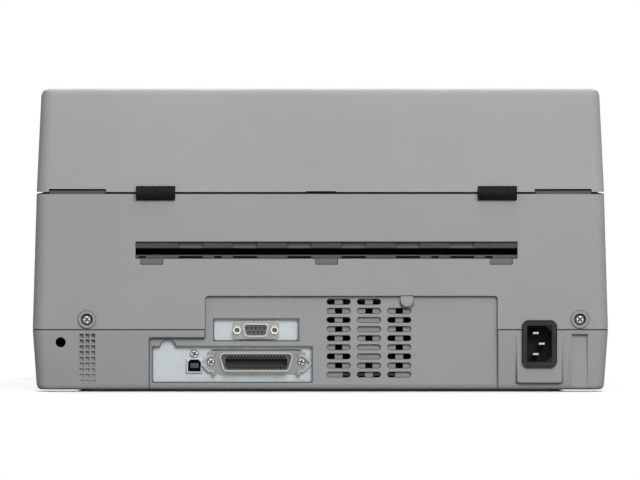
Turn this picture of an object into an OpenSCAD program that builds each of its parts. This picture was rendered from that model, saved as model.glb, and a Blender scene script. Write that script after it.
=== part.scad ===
// Dot matrix printer seen from the rear, modelled piece by piece.
// Millimetres. Origin at the middle of the footprint, Z up, the rear face looks along +Y.

/* [Case] */
// Width across the case seam
body_w = 384; // [380:1:400]
// Depth of the case from the front edge to the rear wall
body_d = 276; // [275:0.5:280]
// Height to the top of the cover
body_h = 202; // [196:1:214]
// Height of the seam between lower and upper case
seam_z = 41.3; // [40.8:0.1:42]
// Height of the upper case rim under the cover
rim_z = 132; // [131.6:0.1:132.4]
// Wall thickness of the mouldings
wall = 3; // [2.6:0.1:3.4]
// Open line between cover and case
lid_gap = 1.2; // [0.8:0.1:1.6]
// Radius of the upright corners
corner_r = 8.5; // [6:0.5:10]

/* [Paper path] */
// Height of the paper above the table
paper_z = 93; // [92.8:0.1:93.2]
// Width of the paper slots
slot_w = 254.7; // [250:0.5:256]
// Radius of the feed rollers
feed_r = 9; // [8.6:0.1:9.2]
// Radius of the pinch rollers
pinch_r = 6; // [5.6:0.1:6.2]
// Gap between feed and pinch rollers
nip = 0.3; // [0.25:0.05:0.4]

/* [Carriage] */
// Diameter of the carriage shaft
shaft_d = 10; // [9:0.5:11]
// Length of the carriage along the shaft
carriage_w = 56; // [48:1:58]
// Diameter of the print head heat sink
head_d = 40; // [34:1:44]

/* [Fits] */
// Radial running clearance of the shafts
run_clear = 0.05; // [0.03:0.01:0.09]
// Clearance between parts that slide or are dropped in
fit = 0.3; // [0.2:0.05:0.4]

/* [Hinges and ports] */
// Length of a hinge barrel
hinge_l = 25.4; // [22:0.4:28]
// Radius of a hinge barrel
hinge_r = 4.6; // [4.2:0.1:4.6]
// Radius of a hinge pin
hinge_pin_r = 1.5; // [1.2:0.1:2]
// Spacing of the serial port standoffs
serial_pitch = 25; // [24.8:0.1:25.2]

/* [Hidden] */
$fn = 48;
eps = 0.02;
hw = body_w / 2;
y_rear = 137.6;
y_front = y_rear - body_d;
tray_z = 4.4;
base_z = 1.4;
path_x = -4.1;
panel_y = 134.4;
panel_t = 2.8;
shield_t = 1.2;
shield_y = panel_y - panel_t;
hinge_y = 140 - hinge_r;
hinge_z = rim_z + 0.3;
hinge_xs = [109.75, -118];
cover_y0 = y_front + 41.4;
slot_z0 = 88.7;
slot_z1 = 100.2;
guide_lo = 91.2;
guide_hi = 95.6;
feed_z = paper_z - feed_r;
pinch_z = paper_z + nip + pinch_r;
feed_ys = [-40, 50];
roller_w = 14;
pocket_w = 15.6;
pocket_pitch = 36.2;
pocket_xs = [for (i = [-2.5:1:2.5]) path_x + i * pocket_pitch];
tray_top = tray_z + 1.5;
plate_a = hw - 38;
plate_b = 30 - hw;
plate_t = 2;
rod_y = 30;
rod_z = 112;
belt_y = 64;
belt_z = 121;
pulley_r = 6.37;
belt_xa = plate_a - 24;
belt_xb = plate_b + 24;
gear_x = plate_a + 3.5;
gear_w = 6;
gear_z = feed_z;
idler_y = 5;
pinion_y = 20.5;
pinion_z = gear_z - 26.85;
vent_xs = [-12.2, -32.4, -52.6];
vent_top = 60;
vent_pitch = 6.07;
vent_codes = [["ogo", "gog", "ogo", "gog", "ogo", "gog", "ogo", "gog", "ggo"],
              ["ogo", "gog", "ggg", "ggg", "gog", "ggg", "ggg", "gog", "ogo"],
              ["", "gog", "ogo", "gog", "ogo", "gog", "ogo", "gog", "ogg"]];
serial_x = 43;
serial_z = 41.1;
usb_x = 84;
usb_z = 17.4;
par_x = 42.7;
par_z = 19.8;
inlet_x = 46 - hw;
inlet_z = 32.05;
screw_pts = [[hw - 36.4, 48.1], [19 - hw, 48.2]];
board_z = 10.4;
button_xs = [hw - 46, hw - 35, hw - 24];
button_z = 109;
foot_pts = [for (s = [-1, 1]) for (y = [y_front + 28.4, 106]) [s * (hw - 50), y]];
rocker_x = 32 - hw;
rocker_z = 56;
cart_x = (plate_a - plate_b) / 2 - 20.5;
cart_y0 = cover_y0 + 9;
cart_y1 = -47.5;
knob_x = path_x + cart_x - 29.4;
knob_y = (cart_y0 + cart_y1) / 2;
board_posts = [[-50, 26], [-50, 118], [34, 26], [118, 26], [118, 112]];
pinion_phase = 20;
bail_xs = [70.9, 14.5];
bail_y = 134;
inlet_pts = [[inlet_x + 2.4, 39.1], [inlet_x - 1.6, 32], [inlet_x + 2.4, 25.1]];
gate_y0 = -12.6;
gate_y1 = -11.2;

function table_z(y) = 88.525 + 0.238 * (y - cover_y0 - 1.7);

// A plate with round corners, w wide and running from y0 to y1.
module slab(w, y0, y1, z, h, r) {
    translate([0, 0, z]) linear_extrude(h) box2(-w / 2, w / 2, y0, y1, r);
}

// A rectangle with round corners given by its edges.
module box2(x0, x1, y0, y1, r) {
    translate([x0 + r, y0]) square([x1 - x0 - 2 * r, y1 - y0]);
    translate([x0, y0 + r]) square([x1 - x0, y1 - y0 - 2 * r]);
    for (x = [x0 + r, x1 - r]) for (y = [y0 + r, y1 - r]) translate([x, y]) circle(r = r);
}

// Stands a flat drawing of the rear view upright; it ends at y1 and is t thick.
module upright(y1, t) {
    translate([0, y1, 0]) rotate([90, 0, 0]) linear_extrude(t) children();
}

// Runs a side profile, drawn as [y, z], from x0 to x1.
module along_x(x0, x1) {
    translate([x0, 0, 0]) rotate([90, 0, 90]) linear_extrude(x1 - x0) children();
}

// A box given by its two corners.
module box(a, b) {
    translate(a) cube(b - a);
}

// A round bar along X.
module bar_x(x0, x1, y, z, r) {
    translate([x0, y, z]) rotate([0, 90, 0]) cylinder(r = r, h = x1 - x0);
}

// A round bar along Y.
module bar_y(x, y0, y1, z, r) {
    translate([x, y1, z]) rotate([90, 0, 0]) cylinder(r = r, h = y1 - y0);
}

// Outline of the sunk rear panel as it shows through the case.
module panel_outline(g) {
    z0 = g > 0 ? 4.6 : 5.2;
    box2(-118.2 - g, 76.9 + g, z0, 64 + g, 2.3);
    box2(60, 114 + g, z0, 36.1 + g, 2.3);
}

// The windows of the sunk panel in front of the shield plate.
module port_windows() {
    box2(14.7, 70.8, 34.3, 48.3, 1.5);
    box2(5.7, 111.6, 6.6, 29.8, 1.5);
    translate([101.6, 29.5]) circle(r = 5.1);
}

// One round-ended vent slot, centred.
module vent_slot(len, h) {
    square([len - h, h], center = true);
    for (s = [-1, 1]) translate([s * (len - h) / 2, 0]) circle(r = h / 2);
}

// Every vent slot, or only its open thirds.
module vents(open_only) {
    for (c = [0:2]) for (r = [0:8]) if (len(vent_codes[c][r]) > 0)
        translate([vent_xs[c], vent_top - r * vent_pitch]) {
            if (!open_only) vent_slot(15.75, 3.7);
            if (open_only) for (k = [0:2]) if (vent_codes[c][r][k] == "o")
                intersection() {
                    vent_slot(15.75, 3.7);
                    translate([5.25 - k * 5.25, 0]) square([k == 1 ? 4.9 : 5.25, 4], center = true);
                }
        }
}

// The tub of the lower case, shrunk by g for the hollow inside.
module lower_hull(g) {
    foot = g > 0 ? [[tray_z, 5.4], [tray_z + 2.6, 2.9]] : [[base_z, 4.9], [base_z + 0.8, 3.4], [base_z + 3, 2.5]];
    hull() {
        for (f = foot) slab(2 * (hw - f[1] - g), y_front + f[1] + g, y_rear - f[1] - g, f[0], eps, corner_r - g);
        slab(2 * (hw - g), y_front + g, y_rear - g, g > 0 ? seam_z + eps : seam_z - eps, eps, corner_r - g);
    }
}

// Lower half of the case with the sunk interface and vent panel.
module lower_case() {
    color("#8d8f90") difference() {
        union() {
            difference() {
                lower_hull(0);
                lower_hull(wall);
            }
            // sunk panel and the backing of the two side channels
            upright(panel_y, panel_t) panel_outline(2.6);
            upright(134.6, 4) box2(hw - 44.5, hw - 29, 6, 39.6, 1);
            upright(134.6, 4) box2(11.4 - hw, 27 - hw, 6, 39.6, 1);
            // tabs that take the case screws, and the inner lip behind the upper case
            for (p = screw_pts) upright(133.4, 3) box2(p[0] - 8, p[0] + 8, 30, 54, 2);
            for (s = [-1, 1]) for (y = [y_front + 38.4, -20, 60])
                translate([s * (hw - wall - fit - 1), y, 38]) cube([2, 46, 12], center = true);
            // raised pad around the power inlet
            upright(y_rear, 6) box2(inlet_x - 15.3, inlet_x + 15.2, 5.9, seam_z, 2.5);
        }
        // the panel is cut back to its own upright face
        upright(y_rear + 4, y_rear + 4 - panel_y) panel_outline(0);
        upright(panel_y + 1, panel_t + 2) port_windows();
        upright(panel_y + 1, 2.6) vents(false);
        upright(panel_y + 1, panel_t + 2) vents(true);
        // the left lattice channel and the plain right one
        for (c = [0:2]) for (r = [0:8])
            translate([hw - 32.9 - c * 3.86, 137, 37.4 - r * 3.86]) cube([2.75, 4.8, 2.75], center = true);
        upright(y_rear + 2, y_rear + 2 - 134.6) box2(13.8 - hw, 24.5 - hw, 3, 38.6, 0.5);
        bar_y(hw - 18.9, 125, 140, 33, 3.4);
        for (p = screw_pts) bar_y(p[0], 128, 136, p[1], 1.5);
        // the hole of the power inlet, and the clear space above the shield
        box([inlet_x - 10.2, 120, 17.8], [inlet_x + 10.2, 140, 60]);
        box([1.7, 128.4, 5.7], [116.3, shield_y, 51.3]);
        // slots that let air in through the floor
        for (x = [-120:16:-72]) translate([x, 0, 0]) linear_extrude(8) box2(-2, 2, -60, -10, 1.9);
    }
}

// Solid of the upper case, shrunk by g for the hollow inside.
module upper_hull(g) {
    hull() {
        slab(2 * (hw - g), cover_y0 + g, y_rear - g, seam_z - (g > 0 ? 1 : 0), eps, corner_r - g);
        slab(2 * (hw - 2.6 - g), cover_y0 + g, 135 - g, rim_z + (g > 0 ? 1 : -eps), eps, corner_r - g);
    }
    hull() {
        slab(2 * (hw - g), y_front + g, cover_y0 + 20, seam_z - (g > 0 ? 1 : 0), eps, corner_r - g);
        slab(2 * (hw - 1.2 - g), y_front + 1 + g, cover_y0 + 20, 79 - g, eps, corner_r - g);
        box([-hw + 1.4 + g, cover_y0 - 1 - g, 80], [hw - 1.4 - g, cover_y0 + 20, 90 - g]);
    }
}

// A flat slab that follows the rim of the upper case, set in by d.
module rim_slab(d, z, h) {
    slab(2 * (hw - 2.6 - d), cover_y0 + d, 135 - d, z, h, corner_r - d);
}

// Upper half of the case; the cover closes its open top.
module upper_case() {
    color("#9b9d9e") difference() {
        union() {
            difference() {
                upper_hull(0);
                upper_hull(wall);
            }
            // inner lip that keeps dust out of the gap under the cover
            difference() {
                union() {
                    rim_slab(wall - 0.1, rim_z - 1.4, 1.4 - eps);
                    rim_slab(wall + 1.2, rim_z - 0.1, 4);
                }
                rim_slab(wall + 2.6, rim_z - 3, 9);
                for (x = hinge_xs) box([x - 13.1, 120, 128], [x + 13.1, 135 - wall, 140]);
            }
            // raised steps of the rim, hinge pads, tab over the sunk panel
            for (s = [-1, 1]) upright(135, wall - 0.1)
                box2(s * (hw - 30.15) - 18.5, s * (hw - 30.15) + 18.5, rim_z - 4, rim_z + 2, 0.4);
            for (x = hinge_xs) upright(133.2, 2) box2(x - 15, x + 15, 106, hinge_z - hinge_r - fit, 1);
            upright(136.6, 2) box2(-61.8, -53.5, 55, 70, 4.1);
            for (p = screw_pts) bar_y(p[0], 133.4, 138.6, p[1], 5.5);
        }
        // shadow line all round the joint with the lower case
        difference() {
            slab(body_w + 10, y_front - 5, y_rear + 5, seam_z - eps, 0.6, 1);
            slab(body_w - 2, y_front + 1, y_rear - 1, seam_z - 1, 3, corner_r - 1);
        }
        // opening around the sunk panel, and room for its edge behind the wall
        difference() {
            upright(y_rear + 4, 12) box2(-118.2, 76.9, seam_z - 6, 64, 2.3);
            upright(y_rear + 4, 12) box2(-61.8, -53.5, 57, 70, 4.1);
        }
        upright(panel_y + 0.1, 8) box2(-121, 79.7, seam_z - 6, 66.8, 2.4);
        for (p = screw_pts) {
            bar_y(p[0], 136, 140, p[1], 4.1);
            bar_y(p[0], 130, 140, p[1], 1.9);
        }
        // power inlet
        box([inlet_x - 10.2, 120, 17.8], [inlet_x + 10.2, 140, 46.4]);
        // rear paper slot with its three notches, and the front one
        upright(145, 30) {
            box2(path_x - slot_w / 2, path_x + slot_w / 2, slot_z0, slot_z1, 0.4);
            for (k = [-1:1]) box2(path_x + k * 116.45 - 7.7, path_x + k * 116.45 + 7.7, 84.7, 92, 0.8);
        }
        upright(cover_y0 + 6, 10) box2(path_x - slot_w / 2, path_x + slot_w / 2, 91, 104, 0.4);
        // room for the hinge barrels
        for (x = hinge_xs) bar_x(x - hinge_l / 2 - 0.4, x + hinge_l / 2 + 0.4, hinge_y, hinge_z, hinge_r + fit);
        for (x = hinge_xs) for (s = [-1, 1]) bar_y(x + s * 8, 128, 134, 116, 1.3);
        // seat of the front table, control panel and power switch
        along_x(path_x - 134.3, path_x + 134.3)
            polygon([[y_front + 4.1, table_z(y_front + 4.1)], [cover_y0 + 1.7, table_z(cover_y0 + 1.7)],
                     [cover_y0 + 7, table_z(cover_y0 + 1.7)], [cover_y0 + 7, 95], [y_front + 4.1, 95]]);
        box([hw - 58.3, cover_y0 - 4, 93.2], [hw - 11.7, cover_y0 + 6, 128.8]);
        box([rocker_x - 9.2, y_front - 2, rocker_z - 7.2], [rocker_x + 9.2, y_front + 10, rocker_z + 7.2]);
        box([rocker_x - 11.2, y_front - 2, rocker_z - 9.2], [rocker_x + 11.2, y_front + 0.4, rocker_z + 9.2]);
    }
}

// Solid of the cover, shrunk by g for the hollow inside.
module cover_hull(g) {
    top = body_h - (g > 0 ? wall : 0);
    r = corner_r - g;
    hull() {
        slab(2 * (hw - 2.6 - g), cover_y0 + g, 135 - g, rim_z + lid_gap - (g > 0 ? 1 : 0), eps, r);
        slab(2 * (hw - 4.7 - g), -90 + g, 133 - g, top - 24, eps, r);
        slab(2 * (hw - 5.6 - g), -67 + g, 132 - g, top - 4.5, eps, r);
        slab(2 * (hw - 6.9 - g), -65.7 + g, 130.7 - g, top - 1.32, eps, r - 1.2);
        slab(2 * (hw - 10.1 - g), -62.5 + g, 127.5 - g, top - eps, eps, r - 4);
    }
}

// Hinged top cover.
module top_cover() {
    color("#a3a5a6") difference() {
        union() {
            difference() {
                cover_hull(0);
                cover_hull(wall);
            }
            // pads that take the hinge leaves, and ribs under the roof
            for (x = hinge_xs) upright(133, 3) box2(x - 15, x + 15, hinge_z + hinge_r + fit, 160, 1);
            // finger ledge on the front face
            along_x(-40, 40) polygon([[cover_y0 + 0.5, 134.2], [cover_y0 - 4, 134.2], [cover_y0 - 4, 136], [cover_y0 + 2, 142]]);
            for (x = [-110, 0, 110]) box([x - 1, -58, body_h - wall - 6], [x + 1, 125, body_h - wall + 0.5]);
        }
        for (s = [-1, 1]) upright(140, 12)
            box2(s * (hw - 30.15) - 19, s * (hw - 30.15) + 19, rim_z - 4, rim_z + 2 + lid_gap, 0.4);
        upright(140, 12) box2(-10.4, 9.8, rim_z - 4, rim_z + lid_gap + 0.5, 0.2);
        for (x = hinge_xs) bar_x(x - hinge_l / 2 - 0.4, x + hinge_l / 2 + 0.4, hinge_y, hinge_z, hinge_r + fit);
        for (x = hinge_xs) for (s = [-1, 1]) bar_y(x + s * 8, 127, 133.5, 148, 1.3);
    }
}

// Sloping table in front of the slot.
module front_table() {
    color("#77797b") difference() {
        union() {
            along_x(path_x - 134, path_x + 134)
                polygon([[y_front + 4.4, table_z(y_front + 4.4)], [cover_y0 + 1.7, table_z(cover_y0 + 1.7)],
                         [cover_y0 + 5, table_z(cover_y0 + 1.7)], [cover_y0 + 5, 91], [cover_y0 + 1.7, 91],
                         [y_front + 4.4, table_z(y_front + 4.4) + 2.5]]);
            for (x = [-120:20:120]) translate([path_x + x, 0, 0]) along_x(-0.8, 0.8)
                polygon([[y_front + 6.4, 81.6], [cover_y0 - 0.4, 89.9], [cover_y0 - 0.4, 91], [y_front + 6.4, 82.9]]);
        }
        // grip cut-out in the middle of the front edge
        translate([path_x, y_front + 4.4, 70]) cylinder(r = 12, h = 20);
    }
}

// Dark sheet under the lower case.
module base_plate() {
    color("#232427") difference() {
        translate([0, 0, 0.4]) linear_extrude(base_z - 0.4) box2(33 - hw, hw - 33, y_front + 12, 131, 6);
        for (p = foot_pts) translate([p[0], p[1], 0]) cylinder(r = 9.3, h = 4);
        for (x = [-120:16:-72]) translate([x, 0, 0]) linear_extrude(8) box2(-2, 2, -60, -10, 1.9);
    }
}

// Four rubber pads set in the holes of the sheet.
module rubber_feet() {
    color("#1b1b1c") for (p = foot_pts)
        translate([p[0], p[1], 0]) rotate_extrude() polygon([[0, 0], [8.4, 0], [9, 0.6], [9, base_z], [0, base_z]]);
}

// Pan head cross-slot screw lying along Y; its head ends at y1.
module pan_screw(x, y1, z, r, t, shank_r, shank_l) {
    difference() {
        union() {
            translate([x, y1 - t, z]) rotate([-90, 0, 0]) rotate_extrude()
                polygon([[0, 0], [r, 0], [r, t * 0.45], [r * 0.82, t * 0.82], [r * 0.5, t], [0, t]]);
            bar_y(x, y1 - t - shank_l, y1 - t + 0.1, z, shank_r);
        }
        for (a = [0, 90]) translate([x, y1, z]) rotate([0, a, 0]) cube([r * 1.3, t * 1.3, r * 0.34], center = true);
    }
}

// Screws of the case halves, of the parallel and of the square port.
module screws() {
    color("#c9cac8") {
        for (p = screw_pts) pan_screw(p[0], 138, p[1], 3.05, 2, 1.5, 5.6);
        for (x = [72.9, 12.7]) pan_screw(x, shield_y + 2.7, par_z, 2.7, 1.7, 1.25, 6);
        pan_screw(usb_x, shield_y + 1.7, 25.3, 2.9, 1.7, 1.25, 6);
    }
}

// Knuckles of one hinge; k is 0 for the case side and 1 for the cover side.
module knuckles(x, k) {
    n = hinge_l / 4;
    for (i = [k, k + 2]) {
        a = x - hinge_l / 2 + i * n + 0.1;
        bar_x(a, a + n - 0.2, hinge_y, hinge_z, hinge_r - 0.4);
        for (j = [0:2]) bar_x(a + j * (n - 1.3) / 2, a + j * (n - 1.3) / 2 + 1.1, hinge_y, hinge_z, hinge_r);
    }
}

// Case side of both hinges, screwed to pads inside the rear wall.
module hinge_base() {
    n = hinge_l / 4;
    color("#1d1e20") for (x = hinge_xs) difference() {
        union() {
            knuckles(x, 0);
            box([x - hinge_l / 2 + 0.1, 129.6, 108], [x + hinge_l / 2 - 0.1, 131.2, 127]);
            for (i = [0, 2]) box([x - hinge_l / 2 + i * n + 0.1, 129.6, 126], [x - hinge_l / 2 + (i + 1) * n - 0.1, 131.2, hinge_z - 1]);
            for (i = [0, 2]) box([x - hinge_l / 2 + i * n + 0.1, 129.6, 129.1], [x - hinge_l / 2 + (i + 1) * n - 0.1, 132.6, hinge_z - 1]);
            for (s = [-1, 1]) bar_y(x + s * 8, 128.6, 129.7, 116, 2.4);
            for (s = [-1, 1]) bar_y(x + s * 8, 129, 133.4, 116, 1.2);
        }
        bar_x(x - 20, x + 20, hinge_y, hinge_z, hinge_pin_r);
        for (i = [1, 3]) bar_x(x - hinge_l / 2 + i * n - 0.1, x - hinge_l / 2 + (i + 1) * n + 0.1, hinge_y, hinge_z, 6.2);
    }
}

// Cover side of both hinges.
module hinge_leaf() {
    n = hinge_l / 4;
    color("#232427") for (x = hinge_xs) difference() {
        union() {
            knuckles(x, 1);
            box([x - hinge_l / 2 + 0.1, 128.4, 136], [x + hinge_l / 2 - 0.1, 130, 158]);
            for (i = [1, 3]) box([x - hinge_l / 2 + i * n + 0.1, 128.4, hinge_z + 0.7], [x - hinge_l / 2 + (i + 1) * n - 0.1, 132.6, 136.1]);
            for (s = [-1, 1]) bar_y(x + s * 8, 127.4, 128.5, 148, 2.4);
            for (s = [-1, 1]) bar_y(x + s * 8, 128, 133, 148, 1.2);
        }
        bar_x(x - 20, x + 20, hinge_y, hinge_z, hinge_pin_r + run_clear);
        for (i = [0, 2]) bar_x(x - hinge_l / 2 + i * n - 0.1, x - hinge_l / 2 + (i + 1) * n + 0.1, hinge_y, hinge_z, 6.2);
        for (i = [1, 3]) translate([x - hinge_l / 2 + (i + 0.5) * n, hinge_y, hinge_z + hinge_r]) cube([3.2, 12, 2.2], center = true);
    }
}

// Pins of both hinges.
module hinge_pins() {
    color("#b9bab8") for (x = hinge_xs) bar_x(x - hinge_l / 2, x + hinge_l / 2, hinge_y, hinge_z, hinge_pin_r);
}

// A connector outline, wider at the top, with corners of radius c.
module d_shape(x, z, top, bottom, h, c) {
    translate([x, z]) hull() for (s = [-1, 1]) {
        translate([s * (top / 2 - c), h / 2 - c]) circle(r = c, $fn = 24);
        translate([s * (bottom / 2 - c), c - h / 2]) circle(r = c, $fn = 24);
    }
}

// Bright sheet behind the port windows.
module shield_plate() {
    color("#c3ccd2") union() {
        upright(shield_y, shield_t) difference() {
            box2(2, 116, 6, 51, 1);
            d_shape(serial_x, serial_z, 17.5, 15.7, 9.4, 2.5);
            for (s = [-1, 1]) translate([serial_x + s * serial_pitch / 2, serial_z]) circle(r = 1.9);
            d_shape(par_x, par_z, 49.4, 45.6, 13.1, 3.1);
            // gaps that show dark beside the two flanges
            translate([serial_x - 12, 33.6]) square([24, 1.4]);
            translate([par_x - 30, 27.2]) square([60, 0.9]);
            for (x = [72.9, 12.7]) translate([x, par_z]) circle(r = 1.25);
            translate([usb_x, usb_z]) square([9.8, 9.1], center = true);
            translate([usb_x, 25.3]) circle(r = 1.25);
        }
        // folded foot that stands on the tray
        box([8, 118, tray_top], [36, shield_y - shield_t + 0.1, tray_top + 1.2]);
        box([8, shield_y - shield_t - 0.6, tray_top], [36, shield_y - shield_t + 0.1, 12]);
    }
}

// Metal shell of the nine-way serial port.
module serial_shell() {
    color("#b5b3a8") difference() {
        union() {
            upright(shield_y + 0.8, 0.8) box2(serial_x - 15.4, serial_x + 15.4, serial_z - 6.25, serial_z + 6.25, 2);
            upright(137.2, 137.2 - shield_y) d_shape(serial_x, serial_z, 16.9, 15.1, 8.8, 2.4);
        }
        upright(140, 12) d_shape(serial_x, serial_z, 15.3, 13.5, 7.2, 1.7);
        for (s = [-1, 1]) bar_y(serial_x + s * serial_pitch / 2, 130, 134, serial_z, 1.9);
    }
}

// Dark insert of the serial port with nine contact holes.
module serial_insert() {
    color("#3a3c3f") difference() {
        union() {
            upright(136.4, 136.4 - 128) d_shape(serial_x, serial_z, 15.3, 13.5, 7.2, 1.7);
            box([serial_x - 10.8, 118, serial_z - 6.2], [serial_x + 10.8, 129.4, serial_z + 5]);
        }
        for (i = [-2:2]) bar_y(serial_x + i * 2.77, 132, 138, serial_z + 1.42, 0.55, $fn = 16);
        for (i = [-1.5:1.5]) bar_y(serial_x + i * 2.77, 132, 138, serial_z - 1.42, 0.55, $fn = 16);
    }
}

// Hexagon standoffs that hold the serial port and take the plug screws.
module serial_standoffs() {
    color("#c7c7c2") for (s = [-1, 1]) translate([serial_x + s * serial_pitch / 2, 0, serial_z]) difference() {
        union() {
            translate([0, 137.4, 0]) rotate([90, 0, 0]) cylinder(r = 2.83, h = 137.4 - shield_y - 0.8, $fn = 6);
            bar_y(0, 126.5, shield_y + 1, 0, 1.42);
        }
        bar_y(0, 133, 138, 0, 1.45);
    }
}

// Square shielded port with its tongue.
module usb_port() {
    color("#bdbcb4") difference() {
        union() {
            upright(133, 3.6) usb_outline(0);
            box([usb_x - 6, 114, 12], [usb_x + 6, 130.4, 23]);
        }
        difference() {
            upright(134, 16) usb_outline(0.55);
            box([usb_x - 2.8, 110, usb_z - 1.6], [usb_x + 2.8, 132, usb_z + 1.6]);
        }
    }
}

// Outline of the square port: a square with the two upper corners cut.
module usb_outline(g) {
    w = 4.8 - g;
    h = 4.45 - g;
    translate([usb_x, usb_z]) polygon([[-w, -h], [w, -h], [w, h - 1.9], [w - 1.9, h], [1.9 - w, h], [-w, h - 1.9]]);
}

// Metal shell and ears of the parallel port.
module parallel_shell() {
    color("#a9a79c") difference() {
        union() {
            upright(shield_y + 1, 1) box2(par_x - 32.6, par_x + 32.6, 12, 27.4, 2);
            upright(138, 138 - shield_y) d_shape(par_x, par_z, 48.8, 45, 12.5, 3);
            for (x = bail_xs) for (z = [11.2, 25]) box([x - 1.3, shield_y + 0.5, z], [x + 1.3, 135.4, z + 2]);
        }
        upright(141, 14) d_shape(par_x, par_z, 47, 43.2, 10.7, 2.2);
        for (x = [72.9, 12.7]) bar_y(x, 130, 134, par_z, 1.25);
        for (x = bail_xs) translate([x, bail_y, 10]) cylinder(r = 0.65, h = 20);
    }
}

// Dark insert of the parallel port with its contact slot.
module parallel_insert() {
    color("#3e4043") difference() {
        union() {
            upright(136.9, 136.9 - 128) d_shape(par_x, par_z, 47, 43.2, 10.7, 2.2);
            box([par_x - 27, 117, 12], [par_x + 27, 129.6, par_z + 6]);
        }
        upright(138, 6.5) translate([par_x, par_z - 0.2]) square([41.2, 4.7], center = true);
        for (i = [-8.5:8.5]) for (s = [-1, 1])
            translate([par_x + i * 2.16, 136.5, par_z - 0.2 + s * 3.7]) cube([1.2, 6, 1.3], center = true);
        for (i = [-9:9]) for (s = [-1, 1])
            translate([par_x + i * 2.16, 136.5, par_z - 0.2 + s * 2.7]) cube([1.1, 3, 1.1], center = true);
    }
}

// Sprung wire latch beside the parallel port; s is the side it points to.
module bail(x, s) {
    color("#c8c8c4") union() {
        upright(bail_y + 0.6, 1.2) polygon([[x, 23.5], [x + s * 3.1, 23.5], [x + s * 7.4, 19.1], [x + s * 7.4, 18.9],
                                            [x + s * 3.1, 14.5], [x, 14.5], [x, 13.3], [x + s * 3.6, 13.3],
                                            [x + s * 8.6, 18.3], [x + s * 8.6, 19.7], [x + s * 3.6, 24.7], [x, 24.7]]);
        translate([x, bail_y, 23.5]) cylinder(r = 0.6, h = 3.3);
        translate([x, bail_y, 11.4]) cylinder(r = 0.6, h = 3.1);
    }
}

module bail_left() {
    bail(bail_xs[0], 1);
}

module bail_right() {
    bail(bail_xs[1], -1);
}

// Black socket of the power inlet.
module inlet_frame() {
    color("#2b2c2f") difference() {
        union() {
            upright(y_rear + 1.8, 1.8) box2(inlet_x - 11.7, inlet_x + 11.7, inlet_z - 15.75, inlet_z + 15.75, 4.4);
            upright(y_rear + 0.1, 26) box2(inlet_x - 10, inlet_x + 10, inlet_z - 14, inlet_z + 14, 1.5);
        }
        upright(141, 18) translate([inlet_x, inlet_z])
            polygon([[-8.05 + 3.9, -11.85], [8.05, -11.85], [8.05, 11.85], [-8.05 + 3.9, 11.85], [-8.05, 11.85 - 3.9], [-8.05, -11.85 + 3.9]]);
        for (p = inlet_pts) box([p[0] - 2, 100, p[1] - 1], [p[0] + 2, 130, p[1] + 1]);
    }
}

// Three blades of the power inlet.
module inlet_pins() {
    color("#c2bfae") for (p = inlet_pts) {
        box([p[0] - 2, 106, p[1] - 1], [p[0] + 2, 134.5, p[1] + 1]);
    }
}

// Steel tray that carries the mechanism.
module chassis_tray() {
    color("#a9adb0") difference() {
        union() {
            translate([0, 0, tray_z]) linear_extrude(tray_top - tray_z) box2(plate_b - plate_t, plate_a + plate_t, y_front + 20.4, 122, 3);
            for (p = board_posts) translate([p[0], p[1], tray_z]) cylinder(r = 3.2, h = board_z - tray_z);
            for (x = [-110:44:110]) box([x - 5, y_front + 28.4, tray_top - 0.1], [x + 5, -30, tray_top + 1.2]);
        }
        for (p = board_posts) translate([p[0], p[1], tray_z + 1]) cylinder(r = 1.2, h = 9);
        for (x = [-88:44:88]) translate([x, 0, 0]) linear_extrude(12) box2(-14, 14, y_front + 38.4, -40, 6);
    }
}

// Outline of a side plate, drawn as [y, z].
module plate_outline() {
    difference() {
        polygon([[cover_y0 + 11, tray_top], [112, tray_top], [112, 132], [96, 142], [66, 142], [56, 132], [-46, 132],
                 [max(-60, cover_y0 + 12), 120], [cover_y0 + 11, 108]]);
        for (y = feed_ys) translate([y, feed_z]) circle(r = 4 + run_clear);
        translate([rod_y, rod_z]) circle(r = shaft_d / 2);
        for (y = [cover_y0 + 31, -20, 84]) translate([y, 40]) circle(r = 14);
    }
}

module side_plate_left() {
    color("#aeb2b4") difference() {
        union() {
            along_x(plate_a, plate_a + plate_t) plate_outline();
            bar_x(plate_a, gear_x + gear_w + 2, idler_y, gear_z, 3);
        }
        bar_x(plate_a - 1, plate_a + 4, pinion_y, pinion_z, 11);
    }
}

module side_plate_right() {
    color("#aeb2b4") along_x(plate_b - plate_t, plate_b) plate_outline();
}

// Three folded beams that tie the side plates together.
module cross_beams() {
    color("#9fa3a6") difference() {
        union() {
            along_x(plate_b, plate_a) translate([cover_y0, 0])
                polygon([[13, 52], [31, 52], [31, 53.5], [14.5, 53.5], [14.5, 70], [13, 70]]);
            along_x(plate_b, plate_a) polygon([[-9, 62], [9, 62], [9, 79.5], [7.5, 79.5], [7.5, 63.5], [-7.5, 63.5], [-7.5, 79.5], [-9, 79.5]]);
            along_x(plate_b, plate_a) polygon([[92, 64], [110, 64], [110, 82], [108.5, 82], [108.5, 65.5], [92, 65.5]]);
        }
        // room for the feed motor
        box([plate_a - 35, pinion_y - 21.5, pinion_z - 22], [plate_a + 1, pinion_y + 21.5, pinion_z + 21.5]);
    }
}

// Flat anvil bar under the print head.
module platen() {
    color("#5c5f62") along_x(plate_b, plate_a)
        polygon([[-10, 79.5], [10, 79.5], [10, 82], [8, 84], [8, 91.5], [7, 92.5], [-7, 92.5], [-8, 91.5], [-8, 84], [-10, 82]]);
}

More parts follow.
